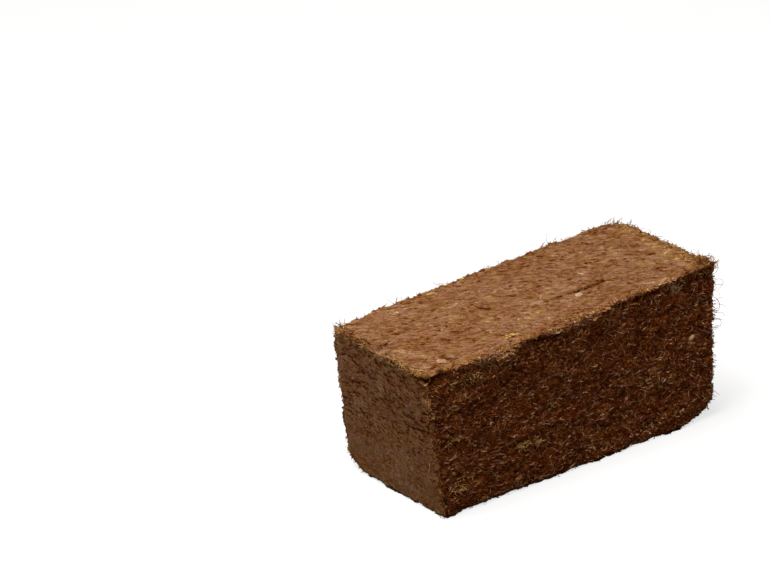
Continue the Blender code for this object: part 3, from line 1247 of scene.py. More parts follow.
@dataclass
class Skin:
    """The bale's skin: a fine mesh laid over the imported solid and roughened.

    Where no unit is named, the lengths of the relief are in millimetres.
    """

    box: CrookedBox
    cells: tuple[int, int, int] = (206, 92, 94)
    crowding: float = 0.10
    margin: float = 12 * MM
    smoothing_rounds: int = 5
    pressed_lumps: tuple[Lumps, ...] = (Lumps(0.20, 10, 21, 2), Lumps(0.10, 3.2, 31))
    torn_lumps: tuple[Lumps, ...] = (
        Lumps(0.8, (7, 6, 4), 41),
        Lumps(1.0, (3.6, 3, 2.2), 51, 2),
        Lumps(0.35, (9, 5, 2.2), 61, 1),
    )
    plate: Triple = (3.6, 1.9, 1.1)
    plate_step: float = 0.10
    plate_gap: float = 0.12
    torn_sink: float = 0.9
    lip: float = 0.8  # how far the torn sides stand out under the top
    hollow: float = 0.8  # how deep they are sunk below that
    bite: float = 1.5  # how rough the edges are
    wear: float = 0.2  # how far they are worn down
    shaggy_corner: Triple = (101.0, -44.0, 95.0)
    lapping: float = 1.2  # how surely the torn look ends where the top laps over
    torn_fade: float = 4 * MM  # width of the band where the torn look fades out
    ragged_rim: float = 3.6 * MM  # how ragged that band is
    seed: int = 11

    def lattice(self) -> tuple[Array, Array, Array]:
        """The skin's points and faces on the lattice of a box.

        Returns:
            The points' whole-number places, the faces as point numbers, and each face's side as a
            number from 0 to 5 in the order of Side.
        """
        counts = np.array(self.cells) + 1
        outer = np.zeros(counts, bool)
        outer[[0, -1]] = outer[:, [0, -1]] = outer[:, :, [0, -1]] = True
        spots = np.argwhere(outer)
        number = np.full(counts, -1)
        number[tuple(spots.T)] = np.arange(len(spots))
        faces, sides = [], []
        for order, side in enumerate(Side):
            grid = np.take(number, -1 if side.value[1] > 0 else 0, axis=side.axis)
            quad = np.stack([grid[:-1, :-1], grid[1:, :-1], grid[1:, 1:], grid[:-1, 1:]], axis=-1)
            outward = (side.value[1] > 0) != (side.axis == 1)
            faces.append(quad.reshape(-1, 4)[:, :: 1 if outward else -1])
            sides.append(np.full(len(faces[-1]), order))
        return spots, np.concatenate(faces), np.concatenate(sides)

    def laid_on(self, solid: Shell, places: Array) -> Array:
        """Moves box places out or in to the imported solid's surface.

        Args:
            solid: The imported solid.
            places: Places from -1 to 1 on the box.

        Returns:
            Points on the solid.
        """
        room = 1 - self.margin / self.box.half
        inner = self.box.at(np.clip(places, -room, room))
        outer = self.box.at(places)
        ways = unit(outer - inner)
        reach = solid.reach(inner, ways)
        reach = np.where(np.isnan(reach), np.linalg.norm(outer - inner, axis=1), reach)
        return inner + ways * reach[:, None]

    @staticmethod
    def softened(points: Array, faces: Array, rounds: int) -> Array:
        """Evens out the solid's flat facets.

        Args:
            points: The skin's points.
            faces: Its faces.
            rounds: How often each point moves half of the way to its neighbours' middle.

        Returns:
            The new points.
        """
        ends = np.concatenate([faces[:, [k, (k + 1) % 4]] for k in range(4)])
        count = np.bincount(ends[:, 0], minlength=len(points))[:, None]
        for _ in range(rounds):
            sums = [np.bincount(ends[:, 0], points[ends[:, 1], k], len(points)) for k in range(3)]
            points = (points + np.stack(sums, axis=1) / count) / 2
        return points

    @staticmethod
    def normals(points: Array, faces: Array) -> Array:
        """The unit vectors out of the skin at its points."""
        one, two, three, four = (points[faces[:, k]] for k in range(4))
        across = np.cross(three - one, four - two)
        total = np.zeros_like(points)
        for corner in range(4):
            for axis in range(3):
                total[:, axis] += np.bincount(faces[:, corner], across[:, axis], len(points))
        return unit(total)

    def edge_distance(self, places: Array) -> Array:
        """How far each point is from the nearest edge of the box, in metres."""
        gaps = np.sort((1 - np.abs(places)) * self.box.half, axis=1)
        return gaps[:, 1]

    def torn_distance(self, places: Array) -> Array:
        """How far each point is inside a torn side, in metres, or below 0 on a pressed face."""
        gaps = (1 - np.abs(places)) * self.box.half
        return np.minimum(gaps[:, 0], gaps[:, 2]) - gaps[:, 1]

    def edge_lines(self, spots: Array, points: Array) -> dict[frozenset, Array]:
        """The points along each edge of the box, under the set of the sides that meet there."""
        lines = {}
        for one, other in itertools.combinations(Side, 2):
            if one.axis != other.axis:
                ends = [self.cells[s.axis] if s.value[1] > 0 else 0 for s in (one, other)]
                on_edge = (spots[:, one.axis] == ends[0]) & (spots[:, other.axis] == ends[1])
                lines[frozenset((one, other))] = points[on_edge]
        return lines

    def relief(self, points: Array, torn: Array, edge: Array, below: Array) -> Array:
        """How far the skin stands out from the solid at each point.

        Args:
            points: Points on the solid.
            torn: 1 on the torn sides and 0 on the pressed faces.
            edge: Distances from the nearest edge.
            below: Distances below the top.

        Returns:
            Heights in millimetres, below 0 where the skin is sunk.
        """
        level, rim = plates(points, np.multiply(self.plate, MM), self.seed)
        pressed = sum(lumps.at(points) for lumps in self.pressed_lumps)
        pressed += self.plate_step * (level - 0.5) - self.plate_gap * smooth_step(rim, 0.16, 0.02)
        ragged = sum((lumps.at(points) for lumps in self.torn_lumps), -self.torn_sink)
        here = np.clip(0.35 + noise(points, 11 * MM, self.seed + 80), 0, 1)
        lip = self.lip * smooth_step(below, 2.8 * MM, 1.0 * MM)
        hollow = self.hollow * here * smooth_step(below, 1.8 * MM, 3.4 * MM)
        hollow *= smooth_step(below, 8 * MM, 4.5 * MM)
        height = pressed * (1 - torn) + (ragged + lip - hollow) * torn
        worn = smooth_step(edge, 4.0 * MM, 0)
        bites = rough_noise(points, 4.2 * MM, self.seed + 60)
        corner = np.linalg.norm(points - np.array(self.shaggy_corner) * MM, axis=1)
        shaggy = self.bite + smooth_step(corner, 18 * MM, 6 * MM)
        return height + worn * (shaggy * bites - self.wear)

    def bake_map(self, spots: Array, faces: Array, sides: Array) -> Array:
        """Places each side on the bake map, the underside at half size.

        Args:
            spots: The points' whole-number places.
            faces: The faces.
            sides: Each face's side.

        Returns:
            The map places of the faces' corners, shaped (faces, 4, 2).
        """
        long, deep, tall = self.cells
        gap = 3
        rows = {
            Side.TOP: (0, 0, 1.0),
            Side.FRONT: (0, deep + gap, 1.0),
            Side.BACK: (0, deep + tall + 2 * gap, 1.0),
            Side.LEFT: (long + gap, 0, 1.0),
            Side.RIGHT: (long + gap, tall + gap, 1.0),
            Side.UNDER: (long + gap, 2 * (tall + gap), 0.45),
        }
        whole = float(long + deep + 2 * gap)
        result = np.zeros((len(faces), 4, 2))
        for order, side in enumerate(Side):
            mine = sides == order
            start_x, start_y, scale = rows[side]
            place = spots[faces[mine]][..., list(side.spans)].astype(float) * scale
            result[mine] = (place + (start_x + 1, start_y + 1)) / whole
        return result

    def build(self, finish: SkinFinish, shared: SharedGroups) -> Shell:
        """Makes the skin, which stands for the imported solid.

        Args:
            finish: The skin's finish.
            shared: The shared node groups.

        Returns:
            The skin's surface, for placing loose matter.
        """
        solid_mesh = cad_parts[NODE].data
        corners = np.array([v.co for v in solid_mesh.vertices])
        triangles = np.array([p.vertices[:] for p in solid_mesh.polygons])
        spots, faces, sides = self.lattice()
        places = spots / np.array(self.cells) * 2 - 1
        places = places * (1 + self.crowding * (1 - places**2))
        points = self.laid_on(Shell(corners, triangles), places)
        points = self.softened(points, faces, self.smoothing_rounds)
        normals = self.normals(points, faces)
        inside = self.torn_distance(places)
        torn = smooth_step(inside, -0.5 * MM, 1.5 * MM)
        edge = self.edge_distance(places)
        below = (1 - places[:, 2]) * self.box.half[2]
        height = self.relief(points, torn, edge, below)
        height -= sum(m.sink * m.nearness(points) for m in ALL_MARKS)
        points = points + normals * height[:, None] * MM
        points[:, 2] = np.maximum(points[:, 2], 0)
        ragged = rough_noise(points, 4.5 * MM, self.seed + 70) * self.ragged_rim
        values = {
            "torn": np.clip(0.5 + (inside + ragged) / self.torn_fade - self.lapping * lap(points), 0, 1),
            "wall": smooth_step(np.abs(normals[:, 0]), 0.5, 0.8),
            "rim": golden(points, edge),
            "depth": -height,
            "mark": mark_tone(points),
        }
        parts = MeshParts(points, quads=faces, quad_map=self.bake_map(spots, faces, sides), values=values)
        thing = parts.piece("coir_skin", finish.material(shared))
        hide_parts(NODE)
        return Shell(points, faces, self.edge_lines(spots, points))


def hue_values(hue: Array) -> dict[str, Array]:
    """The values of the rust and of the gold for hues: 0 is tan, 1 rusty and 2 golden."""
    return {"rust": np.clip(1 - np.abs(hue - 1), 0, 1), "gold": np.clip(hue - 1, 0, 1)}


@dataclass(frozen=True)
class Tints:
    """How light the bits of some loose matter are, and between which hues.

    Most have a tint near the usual one. The bright share are straw, and the dark share dark pith.
    """

    usual: float
    spread: float
    bright: float = 0.0
    dark: float = 0.0
    hue: tuple[float, float] = (0.5, 1.0)
    straw: tuple[float, float] = (0.66, 0.30)  # the least tint of straw, and how much more it may be
    darkest: float = 0.18  # the most tint of dark pith
    mark_share: float = 0.4
    lap_tint: float = 0.60
    lap_rust: float = 0.35

    def draw(self, rng: Generator, points: Array, room: Any = OPEN) -> dict[str, Array]:
        """Draws tints, paler on pale marks and darker on dark ones, which under the front's lip stand for
        painted shadow, and darker and more golden at the rims of the faces.

        Args:
            rng: The source of chance.
            points: Where each bit is.
            room: How far each is from the outline of its face.

        Returns:
            The values of the tint, the rust and the gold for each bit.
        """
        count = len(points)
        tint = self.usual + self.spread * rng.standard_normal(count) + self.mark_share * mark_tone(points)
        kind = rng.random(count)
        tint = np.where(kind < self.bright, self.straw[0] + self.straw[1] * rng.random(count), tint)
        tint = np.where(kind > 1 - self.dark, self.darkest * rng.random(count), tint)
        low, high = self.hue
        values = hue_values(low + (high - low) * rng.random(count))
        rim = golden(points, room)
        values["gold"] = np.maximum(values["gold"], rim * (0.15 + 0.75 * rng.random(count)))
        lapped = lap(points)
        values["rust"] += lapped * (self.lap_rust - values["rust"])
        tint += lapped * (self.lap_tint - self.usual) - 0.03 * rim
        return {"tint": np.clip(tint, 0, 1), **values}


@dataclass
class Loose:
    """Loose matter of the surface that makes up one piece."""

    name: str
    seed: int

    def parts(self, rng: Generator, shell: Shell) -> list[MeshParts]:
        """The meshes that it is made of.

        Args:
            rng: The source of chance.
            shell: The skin.

        Returns:
            The meshes, each of which fills the bake map.
        """
        raise NotImplementedError

    def build(self, shell: Shell, material: Material) -> Object:
        """Makes the piece.

        Args:
            shell: The skin.
            material: The piece's material.

        Returns:
            The piece's object.
        """
        parts = self.parts(np.random.default_rng(self.seed), shell)
        return packed_in_bands(parts).piece(self.name, material)


@dataclass(frozen=True)
class FibreKind:
    """One kind of fibre. Lengths are in millimetres, angles in degrees and curls in radians."""

    count: int
    rings: int
    length: tuple[float, float]
    radius: tuple[float, float]
    curl: float
    lift: float
    slant: float
    tints: Tints
    droop: float = 0.0
    taper: float = 0.55  # share of the radius that is gone at the ends
    unevenness: float = 0.15

    def sizes(self, rng: Generator, count: int) -> tuple[Array, Array]:
        """Draws lengths, shaped (count,), and radii, shaped (count, rings), in metres."""
        low, high = self.length
        length = (low + (high - low) * rng.random(count) ** 2) * MM
        low, high = self.radius
        thick = low + (high - low) * rng.random(count) ** 1.5
        uneven = 1 + self.unevenness * rng.standard_normal((count, self.rings))
        radius = thick[:, None] * MM * tapered(self.rings, self.taper) * uneven
        return length, np.maximum(radius, THINNEST)


@dataclass
class FibreMat(Loose):
    """Fibres lying on faces, matted together."""

    sides: tuple[Side, ...]
    kinds: tuple[FibreKind, ...]
    stray: float = 0.07  # share of the fibres that lie any way
    swirl: float = 26.0  # how far their lie differs from place to place, in degrees
    swirl_size: float = 13 * MM
    free: float = 0.30  # share that rises at one end
    buried: float = 0.25 * MM  # how deep the ends of the others are

    def line(
        self, rng: Generator, shell: Shell, side: Side, kind: FibreKind, count: int
    ) -> tuple[Array, Array]:
        """Centre lines of fibres of one kind on one face.

        Args:
            rng: The source of chance.
            shell: The skin.
            side: The face.
            kind: The kind of fibre.
            count: How many fibres. A few are lost at broken outlines.

        Returns:
            The lines, shaped (n, rings, 3), and their radii, shaped (n, rings).
        """
        seats = shell.on_side(rng, side, count)
        count = len(seats.points)
        first, second = side.spans
        length, radii = kind.sizes(rng, count)
        step = (length / (kind.rings - 1))[:, None]
        heading = np.radians(kind.slant) * rng.standard_normal(count)
        heading = np.where(rng.random(count) < self.stray, rng.random(count) * math.pi, heading)
        swirl = self.swirl * rough_noise(seats.points, self.swirl_size, 77, 2)
        heading += np.radians(swirl - kind.droop)
        bend = kind.curl / (kind.rings - 1) * rng.standard_normal(count)[:, None]
        wiggle = 0.5 * kind.curl / (kind.rings - 1) * rng.standard_normal((count, kind.rings))
        turn = heading[:, None] + np.cumsum(bend + wiggle, axis=1)
        line = np.repeat(seats.points[:, None], kind.rings, axis=1)
        line[..., first] += np.cumsum(np.cos(turn) * step, axis=1) - np.cos(turn[:, :1]) * step
        line[..., second] += np.cumsum(np.sin(turn) * step, axis=1) - np.sin(turn[:, :1]) * step
        level = shell.height(side, line.reshape(-1, 3)).reshape(count, kind.rings)
        sign = side.outward[side.axis]
        steepest = 1.2 * step[:, 0] + 0.6 * MM
        for ring in range(1, kind.rings):
            before = level[:, ring - 1]
            met = np.abs(level[:, ring] - before) < steepest
            level[:, ring] = np.where(met, level[:, ring], before)
        deepest = 0.15 * MM  # how far smoothing may sink a fibre
        for _ in range(2):
            inner = (level[:, :-2] + 2 * level[:, 1:-1] + level[:, 2:]) / 4
            level[:, 1:-1] = sign * np.maximum(sign * inner, sign * level[:, 1:-1] - deepest)
        along = np.linspace(0, 1, kind.rings)[None]
        arch = kind.lift * MM * rng.random((count, 1)) * np.sin(math.pi * along) ** 0.8
        free = rng.random((count, 1)) < self.free
        rising = kind.lift * MM * (0.5 + rng.random((count, 1))) * along**1.5
        buried = self.buried * (1 - np.sin(math.pi * along)) * ~free
        line[..., side.axis] = level + sign * (np.where(free, rising, arch) - buried)
        line[..., 2] = np.maximum(line[..., 2], LOWEST)
        kept = ~np.isnan(level[:, 0])
        return line[kept], radii[kept]

    def parts(self, rng: Generator, shell: Shell) -> list[MeshParts]:
        """The fibres of each kind on each face."""
        parts = []
        for kind in self.kinds:
            for side, count in shell.shares(self.sides, kind.count):
                line, radii = self.line(rng, shell, side, kind, count)
                parts.append(tubes(line, radii, kind.tints.draw(rng, line[:, 0])))
        return parts


def curls(rng: Generator, seats: Seats, kind: FibreKind) -> MeshParts:
    """Fibres that stand free of the surface and curl.

    Args:
        rng: The source of chance.
        seats: Where they start, one for each fibre.
        kind: Their kind. The lift is how steeply they leave the surface, from 0 to 1.

    Returns:
        The fibres as tubes.
    """
    count = len(seats.points)
    length, radii = kind.sizes(rng, count)
    step = (length / (kind.rings - 1))[:, None]
    seats = seats.turned(rng, kind.slant)
    rise = kind.lift * rng.random((count, 1))
    way = unit(seats.alongs * rng.choice((-1, 1), (count, 1)) * (1 - rise) + seats.outs * rise)
    down = 1.2 * np.cross(way, seats.outs)  # turns most of them back to the surface
    spin = unit(rng.standard_normal((count, 3)) + down)
    angle = kind.curl / (kind.rings - 1) * np.abs(rng.standard_normal((count, 1)))
    line = np.zeros((count, kind.rings, 3))
    line[:, 0] = seats.points - seats.outs * ROOT
    for ring in range(1, kind.rings):
        line[:, ring] = line[:, ring - 1] + way * step
        lean = np.sum(spin * way, axis=1, keepdims=True)
        way = way * np.cos(angle) + np.cross(spin, way) * np.sin(angle) + spin * lean * (1 - np.cos(angle))
        way = unit(way + UNREST * rng.standard_normal((count, 3)))
    line[..., 2] = np.maximum(line[..., 2], LOWEST)
    low, high = (np.array(corner) for corner in CAD_BOX)
    kept = np.maximum(low - line, line - high).max(axis=(1, 2)) < FARTHEST
    return tubes(line[kept], radii[kept], kind.tints.draw(rng, line[kept, 0]))


@dataclass(frozen=True)
class BitKind:
    """One kind of flake or crumb. Lengths are in millimetres and the slant is in degrees."""

    count: int
    length: tuple[float, float]
    width: tuple[float, float]
    thickness: tuple[float, float]
    slant: float
    tints: Tints
    sink: float = 0.25
    tilt: float = 0.0
    heading: float = 0.0
    flat: bool = False


def bits(rng: Generator, seats: Seats, kind: BitKind) -> MeshParts:
    """Flakes or crumbs: small lumps with eight faces, partly sunk in the surface.

    Args:
        rng: The source of chance.
        seats: Where they lie, one for each.
        kind: Their kind.

    Returns:
        The bits as one mesh.
    """
    count = len(seats.points)
    swirl = kind.slant * rough_noise(seats.points, 12 * MM, 78, 2) if kind.flat else 0
    seats = seats.turned(rng, kind.slant, kind.heading + swirl)
    outs = unit(seats.outs + math.radians(kind.tilt) * rng.standard_normal((count, 3)))
    alongs = unit(seats.alongs - outs * np.sum(seats.alongs * outs, axis=1, keepdims=True))
    sizes = []
    for low, high in (kind.length, kind.width, kind.thickness):
        sizes.append((low + (high - low) * rng.random(count) ** 1.6) * MM / 2)
    margin, least = 0.3 * MM, 0.3  # flakes near their face's outline are smaller
    room = np.clip((seats.room - margin) / sizes[0].clip(MM), least, 1)
    sizes[0] *= room
    sizes[1] *= room
    across = np.cross(outs, alongs)
    shape = np.array([(-1, -1, 0), (1, -1, 0), (1, 1, 0), (-1, 1, 0), (0, 0, 1), (0, 0, -1)], float)
    crooked = np.array((0.12, 0.2, 0.35))  # how far the corners stray along each of the bit's axes
    shape = shape * (0.55 + 0.65 * rng.random((count, 6, 3)))
    shape += crooked * rng.standard_normal((count, 6, 3))
    shape *= np.stack(sizes, axis=1)[:, None]
    base = seats.points - seats.outs * (kind.sink * sizes[2])[:, None]
    points = base[:, None] + shape[..., :1] * alongs[:, None]
    points += shape[..., 1:2] * across[:, None] + shape[..., 2:] * outs[:, None]
    points[..., 2] = np.maximum(points[..., 2], 0.1 * MM)
    tints = kind.tints.draw(rng, seats.points, seats.room)
    if kind.flat:
        grid = np.array(list(itertools.product((-0.8, -0.4, 0, 0.4, 0.8), (-0.6, 0, 0.6))))
        spots = base[:, None] + alongs[:, None] * (grid[:, :1] * sizes[0][:, None, None])
        spots += across[:, None] * (grid[:, 1:] * sizes[1][:, None, None])
        kept = mark_tone(spots.reshape(-1, 3)).reshape(count, -1).min(axis=1) > BARE
        points, tints = points[kept], {label: numbers[kept] for label, numbers in tints.items()}
        count = len(points)
    faces = np.array([(0, 1, 4), (1, 2, 4), (2, 3, 4), (3, 0, 4), (1, 0, 5), (2, 1, 5), (3, 2, 5), (0, 3, 5)])
    cell, width = bake_cells(count)
    upper = np.array([(0, 0), (1, 0), (1, 1), (0, 1), (0.5, 0.5), (0.5, 0.5)]) * (0.48, 1)
    places = np.stack([upper[face] + ((0.52, 0) if k > 3 else (0, 0)) for k, face in enumerate(faces)])
    values = {label: np.repeat(numbers, 6) for label, numbers in tints.items()}
    return MeshParts(
        points=points.reshape(-1, 3),
        triangles=((np.arange(count) * 6)[:, None, None] + faces).reshape(-1, 3),
        triangle_map=(cell[:, None, None] + width * places).reshape(-1, 3, 2),
        facets=np.full(8 * count, kind.flat),
        values=values,
    )


def loose_bits(rng: Generator, seats: Seats, kind: FibreKind | BitKind) -> MeshParts:
    """Fibres or flakes at the seats, by the kind."""
    return (curls if isinstance(kind, FibreKind) else bits)(rng, seats, kind)


@dataclass
class Litter(Loose):
    """Flakes and crumbs lying on faces."""

    beds: tuple[tuple[tuple[Side, ...], BitKind], ...]

    def parts(self, rng: Generator, shell: Shell) -> list[MeshParts]:
        """The flakes of each bed on each of its faces."""
        parts = []
        for sides, kind in self.beds:
            for side, count in shell.shares(sides, kind.count):
                seats = shell.on_side(rng, side, count)
                seats = shell.flattened(side, seats) if kind.flat else seats
                parts.append(bits(rng, seats, kind))
        return parts


@dataclass
class Fringe(Loose):
    """Fibres and flakes that stand out along the edges. Each edge has its share of every kind."""

    edges: tuple[tuple[tuple[Side, Side], float], ...]
    kinds: tuple[FibreKind | BitKind, ...]

    def parts(self, rng: Generator, shell: Shell) -> list[MeshParts]:
        """The fibres and flakes of each kind on all the edges."""
        parts = []
        for kind in self.kinds:
            seats = [shell.on_edge(rng, sides, round(kind.count * share)) for sides, share in self.edges]
            parts.append(loose_bits(rng, Seats.joined(seats), kind))
        return parts


@dataclass(frozen=True)
class Spot:
    """A tuft of fibres or some chips at one place. Lengths are in millimetres."""

    middle: Triple
    spread: Triple
    out: Triple
    along: Triple
    kind: FibreKind | BitKind

    def seats(self, rng: Generator, shell: Shell) -> Seats:
        """The places of the spot's fibres or chips on the skin."""
        count = self.kind.count
        points = np.array(self.middle) + np.array(self.spread) * rng.uniform(-1, 1, (count, 3))
        points = np.array([shell.tree.find_nearest(p)[0] for p in (points * MM).tolist()])
        outs, alongs = (np.tile(unit(np.array(way, float)), (count, 1)) for way in (self.out, self.along))
        return Seats(points, outs, alongs, np.full(count, OPEN))


@dataclass
class Spots(Loose):
    """The tufts, chips and loops that the bale has in certain places."""

    spots: tuple[Spot, ...]

    def parts(self, rng: Generator, shell: Shell) -> list[MeshParts]:
        """The fibres or chips of each spot."""
        return [loose_bits(rng, spot.seats(rng, shell), spot.kind) for spot in self.spots]


@dataclass(frozen=True)
class Strand:
    """One fibre along given points. Lengths are in millimetres.

    A laid fibre follows the skin, and any other stands free.
    """

    line: tuple[Triple, ...]
    radius: float
    tint: float
    hue: float
    laid: bool = True


@dataclass
class Strands(Loose):
    """Single fibres that the bale has in certain places."""

    strands: tuple[Strand, ...]
    rings: int = 22
    lift: float = 0.35 * MM
    wobble: float = 0.05 * MM
    taper: float = 0.5

    def curve(self, shell: Shell, strand: Strand) -> Array:
        """The strand's centre line, smoothed, shaped (rings, 3)."""
        line = np.array(strand.line) * MM
        for _ in range(3):
            inner = np.stack([0.75 * line[:-1] + 0.25 * line[1:], 0.25 * line[:-1] + 0.75 * line[1:]], axis=1)
            line = np.concatenate([line[:1], inner.reshape(-1, 3), line[-1:]])
        line = on_line(line, np.linspace(0, 1, self.rings))
        if strand.laid:
            found = [shell.tree.find_nearest(p)[:2] for p in line.tolist()]
            line = np.array([np.array(place) + np.array(out) * self.lift for place, out in found])
            for _ in range(3):
                line[1:-1] = (line[:-2] + 2 * line[1:-1] + line[2:]) / 4
        return line

    def parts(self, rng: Generator, shell: Shell) -> list[MeshParts]:
        """All the fibres, as one mesh."""
        lines = np.stack([self.curve(shell, s) for s in self.strands])
        lines += self.wobble * rng.standard_normal(lines.shape)
        radii = np.array([s.radius for s in self.strands])[:, None] * MM * tapered(self.rings, self.taper)
        values = hue_values(np.array([s.hue for s in self.strands]))
        values["tint"] = np.array([s.tint for s in self.strands])
        return [tubes(lines, radii, values)]


# The studio


@dataclass(frozen=True)
class View:
    """The camera: where the bale is seen from. The picture is 770 by 578 pixels."""

    place: Triple = (-1.0859, -1.5159, 0.9601)
    yaw: float = 33.17
    pitch: float = 24.70
    roll: float = -4.05
    focal_pixels: float = 3600.0
    picture_width: float = 770.0
    sensor_width: float = 36.0

    def build(self) -> Object:
        """Makes the camera, and makes it the scene's."""
        yaw, pitch, roll = (math.radians(a) for a in (self.yaw, self.pitch, self.roll))
        ahead = Vector((math.sin(yaw) * math.cos(pitch), math.cos(yaw) * math.cos(pitch), -math.sin(pitch)))
        level = Vector((math.cos(yaw), -math.sin(yaw), 0))
        upright = level.cross(ahead)
        right = math.cos(roll) * level + math.sin(roll) * upright
        up = math.cos(roll) * upright - math.sin(roll) * level
        data = bpy.data.cameras.new("camera")
        data.sensor_width = self.sensor_width
        data.lens = self.focal_pixels * self.sensor_width / self.picture_width
        data.clip_start, data.clip_end = 0.05, 50
        camera = placed("camera", data)
        turn = Matrix((right, up, -ahead)).transposed().to_4x4()
        camera.matrix_world = Matrix.Translation(self.place) @ turn
        bpy.context.scene.camera = camera
        return camera


@dataclass(frozen=True)
class SoftLight:
    """A square studio light."""

    name: str
    place: Triple
    width: float
    power: float
    colour: Triple = (1.0, 1.0, 1.0)

    def build(self) -> Object:
        """Makes the light, turned towards the bale."""
        data = bpy.data.lights.new(self.name, "AREA")
        data.shape = "SQUARE"
        data.size = self.width
        data.energy = self.power
        data.color = self.colour
        light = placed(self.name, data)
        light.location = self.place
        aim = Vector((0, 0, 0.045)) - Vector(self.place)
        light.rotation_euler = aim.to_track_quat("-Z", "Y").to_euler()
        return light


@dataclass(frozen=True)
class Studio:
    """The pale floor, the bright surround and the lights."""

    floor_width: float = 12.0
    floor_seen: float = 0.38
    floor_grain: float = 0.02
    floor_glow: float = 0.70
    floor_bounce: float = 0.16
    surround: float = 0.16
    lights: tuple[SoftLight, ...] = (
        SoftLight("key", (-0.38, 0.04, 1.35), 1.0, 25.1, (1.0, 0.985, 0.95)),
        SoftLight("fill", (-0.4, -2.0, 0.9), 1.2, 6.0, (1.0, 0.98, 0.96)),
    )

    def floor(self) -> Object:
        """Makes the floor, which looks white, as if lit from below, and lights the bale little."""
        half = self.floor_width / 2
        mesh = bpy.data.meshes.new("floor")
        corners = [(x * half, y * half, 0) for x, y in ((-1, -1), (1, -1), (1, 1), (-1, 1))]
        mesh.from_pydata(corners, [], [(0, 1, 2, 3)])
        material, graph, shader = principled("pale floor", 0.9, 0.0)
        place = graph.add("TexCoord").outputs["Object"]
        grain = graph.noise(place, 30.0, 3.0)
        seen = graph.ramp(grain, 0.0, 1.0, self.floor_seen - self.floor_grain, self.floor_seen)
        tone = graph.add("CombineColor", {0: seen, 1: seen, 2: seen}).outputs[0]
        graph.put(shader.inputs["Base Color"], tone)
        glow = graph.add("Emission", {"Color": (1.0, 1.0, 1.0, 1.0), "Strength": self.floor_glow})
        bright = graph.add("AddShader", {0: shader.outputs[0], 1: glow.outputs[0]})
        low = self.floor_bounce
        dim = graph.add("BsdfDiffuse", {"Color": (low, low, low, 1.0)})
        path = graph.add("LightPath")
        sides = {0: path.outputs["Is Camera Ray"], 1: dim.outputs[0], 2: bright.outputs[0]}
        mixed = graph.add("MixShader", sides)
        end = next(n for n in graph.tree.nodes if n.type == "OUTPUT_MATERIAL")
        graph.put(end.inputs["Surface"], mixed.outputs[0])
        mesh.materials.append(material)
        floor = placed("floor", mesh)
        return floor

    def surroundings(self) -> None:
        """Makes the surround: white to look at, dim as a light."""
        world = bpy.data.worlds.new("surround")
        world.use_nodes = True
        graph = Graph(world.node_tree)
        graph.tree.nodes.clear()
        path = graph.add("LightPath")
        sides = {"Factor": path.outputs["Is Camera Ray"], "A": self.surround, "B": 1.0}
        strength = graph.add("Mix", sides, data_type="FLOAT").outputs[0]
        glow = graph.add("Background", {"Color": (1.0, 1.0, 1.0, 1.0), "Strength": strength})
        end = graph.add("OutputWorld", {"Surface": glow.outputs[0]})
        end.is_active_output = True
        bpy.context.scene.world = world

    def build(self) -> None:
        """Makes the whole studio."""
        self.floor()
        self.surroundings()
        for light in self.lights:
            light.build()
        bpy.context.scene.view_settings.view_transform = "Standard"


PITH = Tints(0.28, 0.20, 0.06, 0.18, (0.8, 1.0))
TORN = Tints(0.445, 0.20, 0.26, 0.15, (0.65, 1.15))
PRESSED = Tints(0.545, 0.11, 0.0, 0.0, (0.0, 0.22))
WALL = Tints(0.63, 0.06, 0.0, 0.0, (0.0, 0.4))
RIM = Tints(0.43, 0.16, 0.04, 0.15, (0.4, 1.9))
HAIR = Tints(0.75, 0.15, 0.5, 0.0, (0.1, 0.8))
GOLD = Tints(0.94, 0.05, 0.0, 0.0, (1.65, 2.0))
LOOPS = Tints(0.66, 0.10, 0.0, 0.0, (0.8, 1.6))
STRAW = Tints(0.91, 0.05, 0.5, 0.0, (0.0, 0.4))
OLIVE = Tints(0.55, 0.12, 0.0, 0.05, (1.5, 1.9))
THATCH = Tints(0.72, 0.14, 0.05, 0.10, (1.4, 1.9))
CHIP = Tints(0.985, 0.02, 0.0, 0.0, (0.0, 0.2))
PALE = Tints(0.64, 0.16, 0.06, 0.10, (0.0, 0.5))
DULL = Tints(0.62, 0.10, 0.04, 0.08, (0.1, 0.6))
BRIGHT = Tints(0.96, 0.04, 0.0, 0.0, (0.8, 1.3))

TORN_FIBRES = (
    FibreKind(4700, 5, (1.8, 5.6), (0.14, 0.38), 0.7, 0.8, 17, TORN, 21),
    FibreKind(1200, 7, (2.5, 7.5), (0.12, 0.29), 1.3, 1.0, 22, TORN, 18),
    FibreKind(25, 12, (5.0, 12.0), (0.10, 0.16), 3.5, 1.5, 55, HAIR),
)
TOP_FIBRES = (
    FibreKind(1900, 6, (2.5, 8.0), (0.06, 0.14), 1.5, 0.12, 45, PALE, 33),
    FibreKind(70, 12, (8.0, 20.0), (0.08, 0.15), 2.6, 0.4, 60, HAIR),
)
END_FIBRES = (
    FibreKind(420, 6, (2.5, 7.0), (0.08, 0.15), 1.1, 0.25, 70, DULL),
)
LONG_SIDES = (Side.FRONT, Side.BACK)
ENDS = (Side.LEFT, Side.RIGHT)
TORN_LITTER = ((LONG_SIDES, BitKind(14500, (1.4, 4.2), (0.6, 1.5), (0.5, 1.2), 22, PITH, 0.0)),)
PRESSED_LITTER = (
    ((Side.TOP,), BitKind(6200, (2.0, 8.0), (0.7, 2.2), (0.06, 0.16), 30, PRESSED, 0.30, 0.8, -33, True)),
    ((Side.TOP,), BitKind(500, (5.0, 11.0), (2.5, 5.0), (0.10, 0.20), 30, PRESSED, 0.20, 0.5, -33, True)),
    ((Side.UNDER,), BitKind(900, (2.0, 5.0), (1.0, 2.0), (0.2, 0.3), 75, PRESSED, 0.5)),
)
